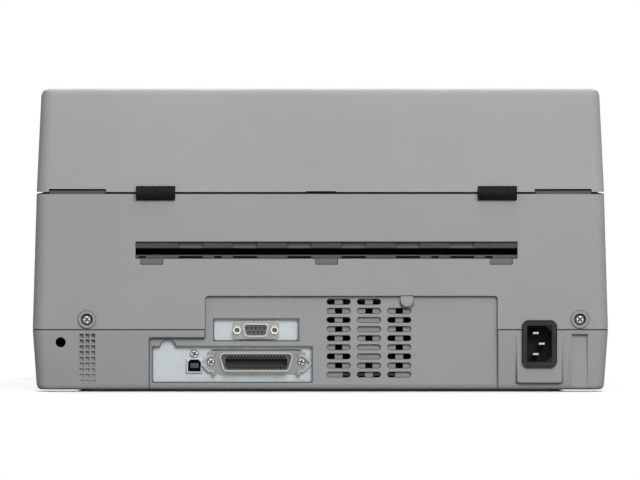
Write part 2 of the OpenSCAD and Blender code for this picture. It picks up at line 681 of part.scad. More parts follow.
// Shaft with six rubber tyres; the left end carries a gear.
module feed_roller(y, x1) {
    color("#3a3b3d") {
        bar_x(plate_b - plate_t - 1.5, x1, y, feed_z, 4);
        for (x = pocket_xs) bar_x(x - roller_w / 2, x + roller_w / 2, y, feed_z, feed_r);
        for (x = pocket_xs) for (s = [-1, 1]) bar_x(x + s * 8.2 - 1.2, x + s * 8.2 + 1.2, y, feed_z, 5);
        bar_x(plate_a - 3, plate_a - 0.4, y, feed_z, 6);
        bar_x(plate_b + 0.4, plate_b + 3, y, feed_z, 6);
    }
}

module feed_roller_front() {
    feed_roller(feed_ys[0], gear_x + gear_w + 1.5);
}

module feed_roller_rear() {
    feed_roller(feed_ys[1], gear_x + gear_w + 1.5);
}

// Flank angle of an involute at radius r for a base radius rb.
function inv(rb, r) = r <= rb ? 0 : sqrt(r * r / (rb * rb) - 1) * 180 / PI - acos(rb / r);

// Outline of a spur gear of module 1 with z teeth; a tooth points to angle 0.
module gear_2d(z, phase) {
    rp = z / 2;
    rb = rp * cos(20);
    rr = rp - 1.25;
    half = 82 / z + inv(rb, rp);
    rs = [for (k = [0:4]) max(rb, rr) + (rp + 0.92 - max(rb, rr)) * k / 4];
    pts = [for (t = [0:z - 1]) for (q = concat([[rr, -half]], [for (r = rs) [r, -(half - inv(rb, r))]],
                                         [for (k = [4:-1:0]) [rs[k], half - inv(rb, rs[k])]], [[rr, half]]))
           [q[0] * cos(q[1] + phase + t * 360 / z), q[0] * sin(q[1] + phase + t * 360 / z)]];
    polygon(pts);
}

// A gear on the outside of the left side plate.
module gear(z, phase, y, zz, bore, web) {
    color("#d9d8d2") translate([gear_x, y, zz]) rotate([90, 0, 90]) difference() {
        union() {
            linear_extrude(gear_w) gear_2d(z, phase);
            translate([0, 0, -0.8]) cylinder(r = bore + 2.2, h = gear_w + 1.6);
        }
        translate([0, 0, -2]) cylinder(r = bore, h = gear_w + 4);
        if (web) difference() {
            translate([0, 0, gear_w - 1.8]) cylinder(r = z / 2 - 3.2, h = 2);
            translate([0, 0, gear_w - 2]) cylinder(r = bore + 2.2, h = 3);
        }
    }
}

module feed_gear_front() {
    gear(40, 0, feed_ys[0], gear_z, 4, true);
}

module feed_gear_rear() {
    gear(40, 0, feed_ys[1], gear_z, 4, true);
}

module idler_gear() {
    gear(50, 3.6, idler_y, gear_z, 3 + run_clear, true);
}

module pinion_gear() {
    gear(12, pinion_phase, pinion_y, pinion_z, 2.5, false);
    color("#d9d8d2") bar_x(plate_a - 12, gear_x + gear_w + 1, pinion_y, pinion_z, 2.5);
}

// Stepper motor of the paper feed, inside the left side plate.
module feed_motor() {
    color("#4b4e52") {
        difference() {
            union() {
                along_x(plate_a - 34, plate_a) box2(pinion_y - 21, pinion_y + 21, pinion_z - 21, pinion_z + 21, 4);
                bar_x(plate_a - 0.1, plate_a + plate_t, pinion_y, pinion_z, 11);
            }
            bar_x(plate_a - 13, plate_a + 4, pinion_y, pinion_z, 2.5 + run_clear);
            for (s = [-1, 1]) box([plate_a - 26, pinion_y + s * 21 - 0.8, pinion_z - 30], [plate_a - 8, pinion_y + s * 21 + 0.8, pinion_z + 30]);
        }
    }
}

// Pinch rollers on their shaft.
module pinch_roller(y) {
    color("#8f9193") {
        bar_x(path_x - 109, path_x + 109, y, pinch_z, 3);
        for (x = pocket_xs) bar_x(x - roller_w / 2, x + roller_w / 2, y, pinch_z, pinch_r);
    }
}

module pinch_roller_front() {
    pinch_roller(feed_ys[0]);
}

module pinch_roller_rear() {
    pinch_roller(feed_ys[1]);
}

// Lower paper guides in front of and behind the platen.
module guide_lower() {
    color("#6d7073") difference() {
        union() {
            along_x(plate_b, plate_a) 
                polygon([[cover_y0 + 5.4, 88.4], [gate_y0 - 0.6, 88.4], [gate_y0 - 0.6, 90.4], [gate_y0 - 1.4, guide_lo],
                         [cover_y0 + 5.4, guide_lo]]);
            along_x(plate_b, plate_a) polygon([[10.4, 88.4], [127, 88.4], [127, guide_lo], [11.2, guide_lo], [10.4, 90.4]]);
            along_x(path_x - slot_w / 2 + fit, path_x + slot_w / 2 - fit)
                polygon([[126.9, 88.9], [133.8, 88.9], [134.6, 89.3], [134.6, 90.8], [134, guide_lo], [126.9, guide_lo]]);
            // tabs that fill the notches under the slot
            for (k = [-1:1]) box([path_x + k * 116.45 - 7.5, 127, 84.9], [path_x + k * 116.45 + 7.5, 134.6, 89.2]);
        }
        for (x = pocket_xs) for (y = feed_ys) box([x - pocket_w / 2, y - 10, 80], [x + pocket_w / 2, y + 10, 95]);
        for (x = pocket_xs) for (y = feed_ys) for (s = [-1, 1]) box([x + s * 8.2 - 1.7, y - 4, 80], [x + s * 8.2 + 1.7, y + 4, 89.5]);
        // room for the end collars of the rollers
        for (x = [plate_b, plate_a - 3.4]) for (y = feed_ys) box([x - 0.1, y - 6.4, 80], [x + 3.5, y + 6.4, 90.4]);
        // slits in the rear lip
        for (x = pocket_xs) box([x - 7.9, 122, 89.3], [x + 7.9, 136, 90.4]);
        for (x = [118.6, 68.2, -76.4, -112.5]) box([x - 2.4, 122, 89.3], [x + 2.4, 136, 90.4]);
    }
}

// Upper paper guides with the ears that carry the pinch rollers.
module guide_upper() {
    color("#4a4d50") difference() {
        union() {
            along_x(plate_b, plate_a)
                polygon([[cover_y0 + 5, 99.6], [cover_y0 + 5, 100], [gate_y0 - 0.6, 100], [gate_y0 - 0.6, 96.4],
                         [gate_y0 - 1.4, guide_hi], [cover_y0 + 11, guide_hi]]);
            along_x(plate_b, plate_a) polygon([[12, 100], [127, 100], [127, guide_hi], [12.8, guide_hi], [12, 96.4]]);
            along_x(path_x - slot_w / 2 + fit, path_x + slot_w / 2 - fit) polygon([[126.9, guide_hi], [133.4, guide_hi], [133.8, 96], [133.8, 100], [126.9, 100]]);
            for (y = feed_ys) for (s = [-1, 1]) box([path_x + s * 106 - 3, y - 6, guide_hi], [path_x + s * 106 + 3, y + 6, 104]);
        }
        for (y = feed_ys) {
            box([path_x - 102.5, y - 7, 90], [path_x + 102.5, y + 7, 110]);
            bar_x(path_x - 109.5, path_x + 109.5, y, pinch_z, 3 + run_clear);
        }
        // sunk segments in the rear edge
        for (x = pocket_xs) box([x - pocket_w / 2, 132, 96.6], [x + pocket_w / 2, 136, 102]);
    }
}

// Gate that the sheet is pushed against; it drops out of the way for feeding.
module paper_gate() {
    color("#8b8f92") difference() {
        union() {
            box([path_x - 128.5, gate_y0, 80], [path_x + 128.5, gate_y1, 97]);
            box([plate_b + fit, gate_y0, 80], [plate_a - fit, gate_y1, 87]);
        }
        for (x = pocket_xs) box([x - 3, gate_y0 - 1, 82], [x + 3, gate_y1 + 1, 86]);
    }
}

// Ground shaft of the carriage.
module carriage_shaft() {
    color("#d3d5d6") bar_x(plate_b - plate_t, plate_a + plate_t, rod_y, rod_z, shaft_d / 2);
}

// Folded rail that guides the front of the carriage.
module carriage_rail() {
    color("#b4b7b9") along_x(plate_b, plate_a)
        polygon([[-45.5, 113], [-44, 113], [-44, 118], [-28, 118], [-28, 119.6], [-44, 119.6], [-44, 128], [-45.5, 128]]);
}

// Carriage body, bored for the bushes and cut for the head.
module carriage() {
    c = rod_z;
    color("#2e3033") translate([path_x, 0, 0]) difference() {
        union() {
            along_x(-carriage_w / 2, carriage_w / 2)
                polygon([[-37, 110], [42, 110], [42, 117], [34, 122], [22, 126], [-22, 126], [-24, 123], [-36, 123],
                         [-36, 119.9], [-26.5, 119.9], [-26.5, 117.7], [-37, 117.7]]);
            bar_x(-carriage_w / 2, carriage_w / 2, rod_y, c, 10);
            // arm and clamp on the lower run of the belt
            box([-8, 38, 110], [8, 60.2, 113]);
            box([-6, 60, 110], [6, 67.4, 118.2]);
        }
        bar_x(-40, 40, rod_y, c, 7);
        translate([0, 0, 100]) cylinder(r = head_d / 2 + 0.2, h = 40);
        box([-10, 60.8, 113.8], [10, 69, 115.4]);
    }
}

// Sintered bushes pressed into the carriage.
module carriage_bushes() {
    color("#a8823e") for (s = [-1, 1]) difference() {
        bar_x(path_x + s * (carriage_w / 2 - 6) - 6.5, path_x + s * (carriage_w / 2 - 6) + 6.5, rod_y, rod_z, 7);
        bar_x(path_x - 60, path_x + 60, rod_y, rod_z, shaft_d / 2 + run_clear);
    }
}

// Print head with its finned heat sink and narrow nose.
module print_head() {
    color("#3c3f43") translate([path_x, 0, 0]) difference() {
        union() {
            translate([0, 0, 110]) cylinder(r = head_d / 2 + 0.2, h = 7);
            for (i = [0:4]) translate([0, 0, 119 + i * 4.2]) cylinder(r = head_d / 2 - 1, h = 1.8);
            translate([0, 0, 116]) cylinder(r = head_d / 2 - 5, h = 24);
            translate([-11, -8, 101]) cube([22, 16, 10]);
            translate([-6, -4, 95]) cube([12, 8, 7]);
        }
        for (i = [-5.5:5.5]) for (s = [-1, 1]) translate([s * 0.9, i * 0.55, 94.8]) cylinder(r = 0.18, h = 1, $fn = 16);
        translate([0, 0, 137]) cylinder(r = 8, h = 8);
    }
}

// Ribbon cartridge resting on the front guide, with its two arms.
module ribbon_cartridge() {
    color("#202124") difference() {
        union() {
            translate([0, 0, 102]) linear_extrude(18) box2(path_x - cart_x - 8.5, path_x + cart_x + 8.5, cart_y0, cart_y1, 5);
            for (s = [-1, 1]) translate([path_x + s * cart_x, 0, 0]) {
                box([-4, cart_y1 - 10, 101], [4, 9, 107]);
                box([-3.5, -9, 94], [3.5, 9, 107]);
                translate([-s * 17.5, 0, 0]) box([-10, cart_y0 + 4, 100], [10, cart_y1 - 2, 102.5]);
            }
        }
        box([path_x - cart_x + 1.5, cart_y0 + 6, 119], [path_x + cart_x - 63.5, cart_y1 - 6, 121]);
        translate([knob_x, knob_y, 104]) cylinder(r = 3 + run_clear, h = 20);
        for (s = [-1, 1]) translate([path_x + s * cart_x, 0, 0]) box([-5, -6.6, 93.9], [5, 6.6, 94.6]);
    }
}

// Inked band between the arms of the cartridge.
module ribbon_strip() {
    color("#17171a") box([path_x - cart_x - 3.5, -6.5, 94.4], [path_x + cart_x + 3.5, 6.5, 94.6]);
}

// Knob that tightens the ribbon.
module ribbon_knob() {
    color("#3f6f8f") translate([knob_x, knob_y, 0]) difference() {
        union() {
            translate([0, 0, 106]) cylinder(r = 3, h = 16);
            translate([0, 0, 120.3]) cylinder(r = 9, h = 6);
        }
        for (a = [0:30:330]) rotate([0, 0, a]) translate([9.4, 0, 119]) cylinder(r = 1.2, h = 9, $fn = 16);
        translate([0, 0, 124.5]) cylinder(r = 6.5, h = 3);
    }
}

// Motor that drives the carriage belt, on its bracket.
module carriage_motor() {
    color("#4b4e52") {
        difference() {
            upright(105, 34.4) box2(belt_xa - 21, belt_xa + 21, belt_z - 20.8, belt_z + 21, 4);
            for (s = [-1, 1]) box([belt_xa + s * 21 - 0.8, 78, belt_z - 30], [belt_xa + s * 21 + 0.8, 96, belt_z + 30]);
            bar_y(belt_xa, 69, 84, belt_z, 2.5 + run_clear);
        }
    }
}

// Toothed pulley with flanges; its shaft runs into the motor.
module motor_pulley() {
    color("#c4c6c6") {
        bar_y(belt_xa, 60.6, 67.4, belt_z, pulley_r - 0.6);
        for (y = [59.6, 67.2]) bar_y(belt_xa, y, y + 1.2, belt_z, pulley_r + 1.4);
        bar_y(belt_xa, 58, 82, belt_z, 2.5);
    }
}

// Idler pulley at the other end of the belt.
module idler_pulley() {
    color("#d9d8d2") difference() {
        union() {
            bar_y(belt_xb, 60.6, 67.4, belt_z, pulley_r - 0.6);
            for (y = [59.6, 67.2]) bar_y(belt_xb, y, y + 1.2, belt_z, pulley_r + 1.4);
        }
        bar_y(belt_xb, 55, 72, belt_z, 2 + run_clear);
    }
}

// Closed belt between the pulleys.
module timing_belt() {
    color("#1a1a1b") upright(67, 6) difference() {
        box2(belt_xb - pulley_r - 0.6, belt_xa + pulley_r + 0.6, belt_z - pulley_r - 0.6, belt_z + pulley_r + 0.6, pulley_r + 0.599);
        box2(belt_xb - pulley_r + 0.5, belt_xa + pulley_r - 0.5, belt_z - pulley_r + 0.5, belt_z + pulley_r - 0.5, pulley_r - 0.501);
    }
}

// Brackets of the belt drive: motor plate on the left, fork on the right.
module belt_brackets() {
    color("#9fa3a6") {
        upright(70.6, 1.6) difference() {
            box2(belt_xa - 23, plate_a, 100.2, 143, 1);
            translate([belt_xa, belt_z]) circle(r = 5);
        }
        upright(58.6, 1.6) box2(plate_b, belt_xb + 7, 113.6, 130, 1);
        upright(71.6, 1.6) box2(plate_b, belt_xb + 7, 113.6, 130, 1);
        box([plate_b, 57, 113.6], [plate_b + 1.6, 71.6, 130]);
        bar_y(belt_xb, 56, 72.6, belt_z, 2);
    }
}

// Control board on its posts.
module main_board() {
    color("#2f6b45") translate([0, 0, board_z]) linear_extrude(1.6) difference() {
        box2(-58, 126, 20, 126, 2);
        for (p = board_posts) translate(p) circle(r = 1.3);
    }
}

// Chips, capacitors and plugs of the control board.
module board_parts() {
    z = board_z + 1.6;
    color("#25272a") {
        for (c = [[-20, 60, 26, 26, 3], [30, 70, 28, 14, 4], [70, 72, 20, 20, 3], [30, 40, 40, 10, 5], [-30, 100, 30, 9, 8],
                  [90, 34, 34, 8, 9], [-42, 34, 14, 14, 6]])
            box([c[0] - c[2] / 2, c[1] - c[3] / 2, z], [c[0] + c[2] / 2, c[1] + c[3] / 2, z + c[4]]);
        for (x = [0, 14, 66]) translate([x, 98, z]) cylinder(r = 4.5, h = 14);
        box([104, 50, z], [116, 96, z + 14]);
    }
}

// Caged power supply beside the inlet.
module power_supply() {
    color("#b0b4b6") difference() {
        box([plate_b + 6, 14, tray_top], [-70, 102, 58]);
        box([plate_b + 7.2, 15.2, tray_top + 1.2], [-71.2, 100.8, 56.8]);
        for (x = [plate_b + 14:8:-78]) for (y = [24:8:94]) translate([x, y, 55]) cylinder(r = 2.4, h = 5, $fn = 16);
        box([-140, 99, 14], [-100, 104, 30]);
    }
}

// Bezel of the control panel with its button wells and lamp windows.
module control_panel() {
    color("#5f6266") difference() {
        union() {
            upright(cover_y0 + 3, 4) box2(hw - 58, hw - 12, 93.5, 128.5, 1.5);
            upright(cover_y0 + wall + 2, 2) box2(hw - 61, hw - 11, 91, 130.4, 1);
        }
        for (x = button_xs) {
            upright(cover_y0 + 8, 12) translate([x, button_z]) square([8.8, 10.8], center = true);
            bar_y(x, cover_y0 - 4, cover_y0 + 1, button_z + 12, 1.6);
        }
    }
}

// One push button of the panel; the collar behind the bezel keeps it in.
module panel_button(x) {
    color("#c9cbcc") {
        upright(cover_y0 + 5.3, 7.3) box2(x - 4.2, x + 4.2, button_z - 5.2, button_z + 5.2, 0.8);
        upright(cover_y0 + 6.9, 1.85) box2(x - 5.2, x + 5.2, button_z - 6.4, button_z + 6.4, 0.8);
    }
}

module button_feed() {
    panel_button(button_xs[0]);
}

module button_tear() {
    panel_button(button_xs[1]);
}

module button_online() {
    panel_button(button_xs[2]);
}

// Housing of the power switch in the front wall.
module power_switch() {
    color("#26272a") difference() {
        union() {
            upright(y_front + 0.4, 2) box2(rocker_x - 11, rocker_x + 11, rocker_z - 9, rocker_z + 9, 1.6);
            upright(y_front + 18, 18) box2(rocker_x - 9, rocker_x + 9, rocker_z - 7, rocker_z + 7, 0.8);
        }
        upright(y_front + 12, 16) box2(rocker_x - 7.4, rocker_x + 7.4, rocker_z - 5.4, rocker_z + 5.4, 0.5);
        bar_x(rocker_x - 8.6, rocker_x + 8.6, y_front + 4.6, rocker_z, 1.2 + run_clear);
    }
}

// Rocker of the power switch on its pivot.
module power_rocker() {
    color("#141416") translate([0, y_front + 4.6, rocker_z]) rotate([8, 0, 0]) {
        along_x(rocker_x - 7, rocker_x + 7) polygon([[-3.2, -5], [-5.2, -4.6], [-3.6, 0], [-5.2, 4.6], [-3.2, 5], [2, 3.4], [3, 0], [2, -3.4]]);
        bar_x(rocker_x - 8.4, rocker_x + 8.4, 0, 0, 1.2);
    }
}

lower_case();
upper_case();
top_cover();
front_table();
base_plate();
rubber_feet();
screws();
hinge_base();
hinge_leaf();
hinge_pins();
shield_plate();
serial_shell();
serial_insert();
serial_standoffs();
usb_port();
parallel_shell();
parallel_insert();
bail_left();
bail_right();
inlet_frame();
inlet_pins();
chassis_tray();
side_plate_left();
side_plate_right();
cross_beams();
platen();
feed_roller_front();
feed_roller_rear();
feed_gear_front();
feed_gear_rear();
idler_gear();
pinion_gear();
feed_motor();
pinch_roller_front();
pinch_roller_rear();
guide_lower();
guide_upper();
paper_gate();
carriage_shaft();
carriage_rail();
carriage();
carriage_bushes();
print_head();
ribbon_cartridge();
ribbon_strip();
ribbon_knob();
carriage_motor();
motor_pulley();
idler_pulley();
timing_belt();
belt_brackets();
main_board();
board_parts();
power_supply();
control_panel();
button_feed();
button_tear();
button_online();
power_switch();
power_rocker();
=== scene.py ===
import math

import bmesh
import bpy
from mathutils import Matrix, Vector


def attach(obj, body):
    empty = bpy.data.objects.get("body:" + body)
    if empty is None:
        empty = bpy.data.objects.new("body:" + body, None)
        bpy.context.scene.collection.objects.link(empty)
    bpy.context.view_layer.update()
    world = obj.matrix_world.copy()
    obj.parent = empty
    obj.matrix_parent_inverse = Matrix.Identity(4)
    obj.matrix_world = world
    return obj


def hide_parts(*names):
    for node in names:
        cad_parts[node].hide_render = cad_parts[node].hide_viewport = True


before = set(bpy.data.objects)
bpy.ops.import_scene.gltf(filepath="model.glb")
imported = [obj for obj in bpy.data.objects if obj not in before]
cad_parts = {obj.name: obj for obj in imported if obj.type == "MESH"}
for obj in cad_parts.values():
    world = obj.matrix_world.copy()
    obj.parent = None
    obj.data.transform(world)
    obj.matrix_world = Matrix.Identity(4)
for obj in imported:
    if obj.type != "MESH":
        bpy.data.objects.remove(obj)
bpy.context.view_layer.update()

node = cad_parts

# ---------------------------------------------------------------- camera
# The photograph looks straight at the rear from far off, tilted down by less than a
# degree, so a long lens stands almost five metres behind the machine.
cam = bpy.data.objects.new("rear_camera", bpy.data.cameras.new("rear_camera"))
bpy.context.scene.collection.objects.link(cam)
bpy.context.scene.camera = cam
cam.data.lens = 400
cam.data.sensor_width = 36
cam.data.clip_end = 30
far_off, tilt = 4.737, math.radians(0.8)
middle_x, rear_wall_y, middle_z = 0.00023, 0.1376, 0.1012
cam.location = (middle_x, rear_wall_y + far_off * math.cos(tilt), middle_z + far_off * math.sin(tilt))
cam.rotation_euler = (math.pi / 2 - tilt, 0, math.pi)

# ---------------------------------------------------------------- studio
# A white paper floor in a soft white room. The broad main lamp stands over the rear
# and a little to the right, and four weaker ones light the top, front and shoulders.
bpy.context.scene.view_settings.view_transform = "Standard"


class Val:
    """A socket that adds, multiplies and compares like a number."""

    def __init__(self, finish, socket):
        self.f, self.s = finish, socket

    def maths(self, op, *others):
        n = self.f.tree.nodes.new("ShaderNodeMath")
        n.operation = op
        for i, v in enumerate(others):
            self.f.feed(n.inputs[i], v)
        return Val(self.f, n.outputs[0])

    def __add__(self, o): return self.maths("ADD", self, o)
    def __radd__(self, o): return self.maths("ADD", o, self)
    def __sub__(self, o): return self.maths("SUBTRACT", self, o)
    def __rsub__(self, o): return self.maths("SUBTRACT", o, self)
    def __mul__(self, o): return self.maths("MULTIPLY", self, o)
    def __rmul__(self, o): return self.maths("MULTIPLY", o, self)
    def __truediv__(self, o): return self.maths("DIVIDE", self, o)
    def __gt__(self, o): return self.maths("GREATER_THAN", self, o)
    def __lt__(self, o): return self.maths("LESS_THAN", self, o)
    def __or__(self, o): return self.maths("MAXIMUM", self, o)
    def __and__(self, o): return self.maths("MINIMUM", self, o)
    def __abs__(self): return self.maths("ABSOLUTE", self)


class Finish:
    """One material or world: nodes are added by type, settings and sockets."""

    def __init__(self, name, holder=None):
        self.mat = holder or bpy.data.materials.new(name)
        self.mat.use_nodes = True
        self.tree = self.mat.node_tree
        self.skin = self.tree.nodes.get("Principled BSDF")

    def feed(self, socket, value):
        if isinstance(value, Val):
            self.tree.links.new(value.s, socket)
        elif value is not None:
            socket.default_value = value

    def add(self, kind, settings=None, out=0, **sockets):
        """A node; i0, i1 ... name sockets by number, any other name is the socket's own."""
        n = self.tree.nodes.new("ShaderNode" + kind)
        for k, v in (settings or {}).items():
            setattr(n, k, v)
        for k, v in sockets.items():
            self.feed(n.inputs[int(k[1:])] if k[1:].isdigit() else n.inputs[k.replace("_", " ")], v)
        return Val(self, n.outputs[out])

    def end(self, surface):
        """Sends a shader to the output."""
        kind = "OUTPUT_WORLD" if self.skin is None else "OUTPUT_MATERIAL"
        last = next(n for n in self.tree.nodes if n.type == kind)
        self.feed(last.inputs["Surface"], surface)

    def place(self, stretch=(1, 1, 1)):
        """Object coordinates in metres, stretched along the axes."""
        at = self.add("TexCoord", out=3)
        return self.add("Mapping", Vector=at, Scale=stretch) if stretch != (1, 1, 1) else at

    def axes(self):
        """X, Y and Z of the point in metres."""
        at = self.place()
        return [self.add("SeparateXYZ", out=i, Vector=at) for i in range(3)]

    def noise(self, scale, detail=2.0, rough=0.5, stretch=(1, 1, 1)):
        return self.add("TexNoise", Vector=self.place(stretch), Scale=scale, Detail=detail, Roughness=rough)

    def blend(self, mask, a, b):
        """Colour a where the mask is 0 and b where it is 1."""
        a, b = ((*v, 1) if isinstance(v, tuple) and len(v) == 3 else v for v in (a, b))
        return self.add("Mix", {"data_type": "RGBA"}, out=2, i0=mask, i6=a, i7=b)

    def soft(self, value, low, high, to_low=0.0, to_high=1.0):
        """Maps low..high to to_low..to_high and holds the ends."""
        return self.add("MapRange", Value=value, i1=low, i2=high, i3=to_low, i4=to_high)

    def line(self, value, near, far, strength):
        """A line where the value is zero: full up to near, and gone at far."""
        return self.soft(abs(value), near, far, strength, 0.0)

    def relief(self, height, depth, strength):
        return self.add("Bump", Height=height, Distance=depth, Strength=strength)

    def wear(self, colour=None, rough=None, bump=None, **fixed):
        """Feeds the surface; what is fixed goes on its own socket."""
        for k, v in (("Base Color", colour), ("Roughness", rough), ("Normal", bump)):
            self.feed(self.skin.inputs[k], v)
        for k, v in fixed.items():
            self.skin.inputs[k.replace("_", " ")].default_value = v
        return self.mat


def bright_room():
    """White to the lens and in reflections, dimmer as light on the object."""
    w = bpy.data.worlds.new("room")
    bpy.context.scene.world = w
    f = Finish("room", w)
    seen = (f.add("LightPath", out="Is Camera Ray") | f.add("LightPath", out="Is Glossy Ray")
            | f.add("LightPath", out="Is Transmission Ray"))
    f.end(f.add("Background", Color=(1, 1, 1, 1), Strength=f.soft(seen, 0, 1, 0.19, 1.0)))


bright_room()


def paper_floor():
    """White paper that turns to plain white a hand's breadth beyond the shadow, and
    carries painted light where the sides of the case hang over it, pale in place of their shadow."""
    me = bpy.data.meshes.new("floor")
    me.from_pydata([(-6, -6, 0), (6, -6, 0), (6, 6, 0), (-6, 6, 0)], [], [(0, 1, 2, 3)])
    o = bpy.data.objects.new("floor", me)
    bpy.context.scene.collection.objects.link(o)
    f = Finish("floor_paper")
    seen = f.add("LightPath", out="Is Camera Ray") | f.add("LightPath", out="Is Glossy Ray")
    tone = f.blend(seen, (0.24, 0.24, 0.24), (0.94, 0.94, 0.94))
    f.wear(colour=tone, rough=f.soft(f.noise(40, 3), 0.3, 0.7, 0.85, 0.95))
    x, y, _ = f.axes()
    beyond = f.soft(abs(x), 0.190, 0.250) | f.soft(abs(y), 0.141, 0.270)
    # Painted light: the floor glows pale under the overhanging sides of the case, where their shadow falls.
    under = f.soft(abs(x), 0.1602, 0.1640, 0.0, 0.85) * (abs(y) < 0.118)
    glow = f.add("Emission", Color=(1, 1, 1, 1), Strength=1.0)
    f.end(f.add("MixShader", i0=seen * (beyond | under), i1=Val(f, f.skin.outputs[0]), i2=glow))
    me.materials.append(f.mat)


paper_floor()


def lamp(name, place, size, watts):
    """A broad soft lamp aimed at the middle of the machine."""
    data = bpy.data.lights.new(name, "AREA")
    data.shape = "RECTANGLE"
    data.size, data.size_y = size
    data.energy = watts
    o = bpy.data.objects.new(name, data)
    bpy.context.scene.collection.objects.link(o)
    o.location = place
    o.rotation_euler = (Vector((0, 0, 0.1)) - Vector(place)).to_track_quat("-Z", "Y").to_euler()


lamp("over_rear", (-0.6, 2.4, 1.5), (1.6, 1.3), 65)
lamp("left_shoulder", (1.9, -1.9, 1.1), (1.4, 1.4), 5)
lamp("right_shoulder", (-1.9, -1.9, 1.1), (1.4, 1.4), 4)
lamp("over_front", (0.4, -2.2, 1.9), (2.2, 1.6), 44)
lamp("overhead", (-0.2, 0.2, 2.3), (2.2, 1.8), 30)

# ---------------------------------------------------------------- case shells
# Lower case, upper case and cover are three grey ABS mouldings with a fine spark
# texture. The cover is a shade lighter. Two screws and the rim hold them together.
def shade(colour, k):
    """The colour made k times as bright, up to full white."""
    return tuple(min(1, c * k) for c in colour)


def moulded(name, colour, rough, grain=0.00005, dust=0.0, painted_shade=None, shine=0.42):
    """Moulded plastic: spark texture, faint flow marks and handling gloss."""
    f = Finish(name)
    flow = f.noise(9, 3, 0.6)
    fine = f.noise(1900, 2, 0.6)
    speck = f.noise(5200, 1, 0.5)
    tone = f.blend(f.soft(flow, 0.35, 0.65), shade(colour, 0.97), shade(colour, 1.03))
    tone = f.blend(f.soft(speck, 0.45, 0.75) * 0.14, tone, shade(colour, 0.7))
    if dust:
        up = f.add("SeparateXYZ", out=2, Vector=f.add("NewGeometry", out=1))
        settled = f.soft(up, 0.4, 1.0) * f.soft(f.noise(60, 4, 0.7), 0.42, 0.66)
        tone = f.blend(settled * dust, tone, (0.55, 0.53, 0.5))
    # Painted shade: where the mask says so, the colour is darkened to about a fifth.
    if painted_shade:
        tone = f.blend(painted_shade(f), tone, shade(colour, 0.22))
    gloss = f.soft(f.noise(26, 3, 0.6), 0.3, 0.7, rough - 0.05, rough + 0.07)
    gloss = gloss + f.soft(fine, 0.3, 0.7, -0.03, 0.03)
    return f.wear(colour=tone, rough=gloss, bump=f.relief(fine, grain, 0.35), Specular_IOR_Level=shine)


def dress(name, mat, bevel=0.0, parts=2):
    """Puts a finish on a CAD node and eases its outer edges."""
    o = node[name]
    o.data.materials.clear()
    o.data.materials.append(mat)
    if bevel:
        w = o.modifiers.new("join", "WELD")
        w.merge_threshold = 1e-6
        b = o.modifiers.new("edges", "BEVEL")
        b.width, b.segments, b.limit_method, b.angle_limit = bevel, parts, "ANGLE", math.radians(32)
        o.modifiers.new("faces", "WEIGHTED_NORMAL")
    return o


# Steps, windows and pads of the rear view as (x0, x1, z0, z1), and points as (x, z).
sunk_panel = (-0.1182, 0.0769, -0.02, 0.0640)
panel_step = (0.060, 0.114, -0.02, 0.0361)
serial_window = (0.0147, 0.0708, 0.0343, 0.0483)
wide_window = (0.0057, 0.1116, 0.0066, 0.0298)
window_notch = (0.1016, 0.0295)
inlet_pad = (-0.1613, -0.1308, 0.0059, 0.0600)
vent_field = (-0.0627, -0.0021, 0.0084, 0.0630)
round_tab = (-0.05765, 0.0591)
screw_xs, screw_z = (0.1556, -0.173), 0.04815
seam_z, rim_z = 0.0413, 0.1317
panel_y, wall_y = 0.1315, 0.130


def outside(x, z, x0, x1, z0, z1):
    """How far a point lies outside an upright rectangle; it is negative inside."""
    return (abs(x - (x0 + x1) / 2) - (x1 - x0) / 2) | (abs(z - (z0 + z1) / 2) - (z1 - z0) / 2)


def round_line(f, x, z, centre, radius, near, far, strength):
    """A line along a circle; near and far are differences of squared distances."""
    a, b = x - centre[0], z - centre[1]
    return f.line(a * a + b * b - radius ** 2, near, far, strength)


def zigzag(f, value, half):
    """Distance to the nearest multiple of twice the half."""
    return f.add("Math", {"operation": "PINGPONG"}, i0=value + 400 * half, i1=half)


def nearest(value, marks):
    """Distance to the nearest of some marks."""
    gap, *others = (abs(value - m) for m in marks)
    for other in others:
        gap = gap & other
    return gap


def vent_rings(f, x, z):
    """Painted shade along the edge of each vent slot and, fainter, in the slots that are closed.
    The last column has no slot in the top row."""
    first_column, half_column, half_straight = -0.0122, 0.0101, 0.006025
    top_row, half_row, end_radius_squared = 0.060, 0.003035, 3.42e-6
    along = (zigzag(f, x - first_column, half_column) - half_straight) | 0.0
    across = zigzag(f, z - top_row, half_row)
    away = along * along + across * across
    no_slot = (x < -0.0425) * (z > 0.057)
    here = (outside(x, z, *vent_field) < 0.0) * (1 - no_slot)
    return here * (f.line(away - end_radius_squared, 0.5e-6, 1.5e-6, 0.75) | (away < end_radius_squared) * 0.2)


def seam_painted_shade(x, y, z):
    """A painted shade line where the two halves of the case meet."""
    outer = (y > 0.1365) | (abs(x) > 0.185) | (y < -0.1365)
    return outer * (abs(z - seam_z) < 0.0003) * 0.8


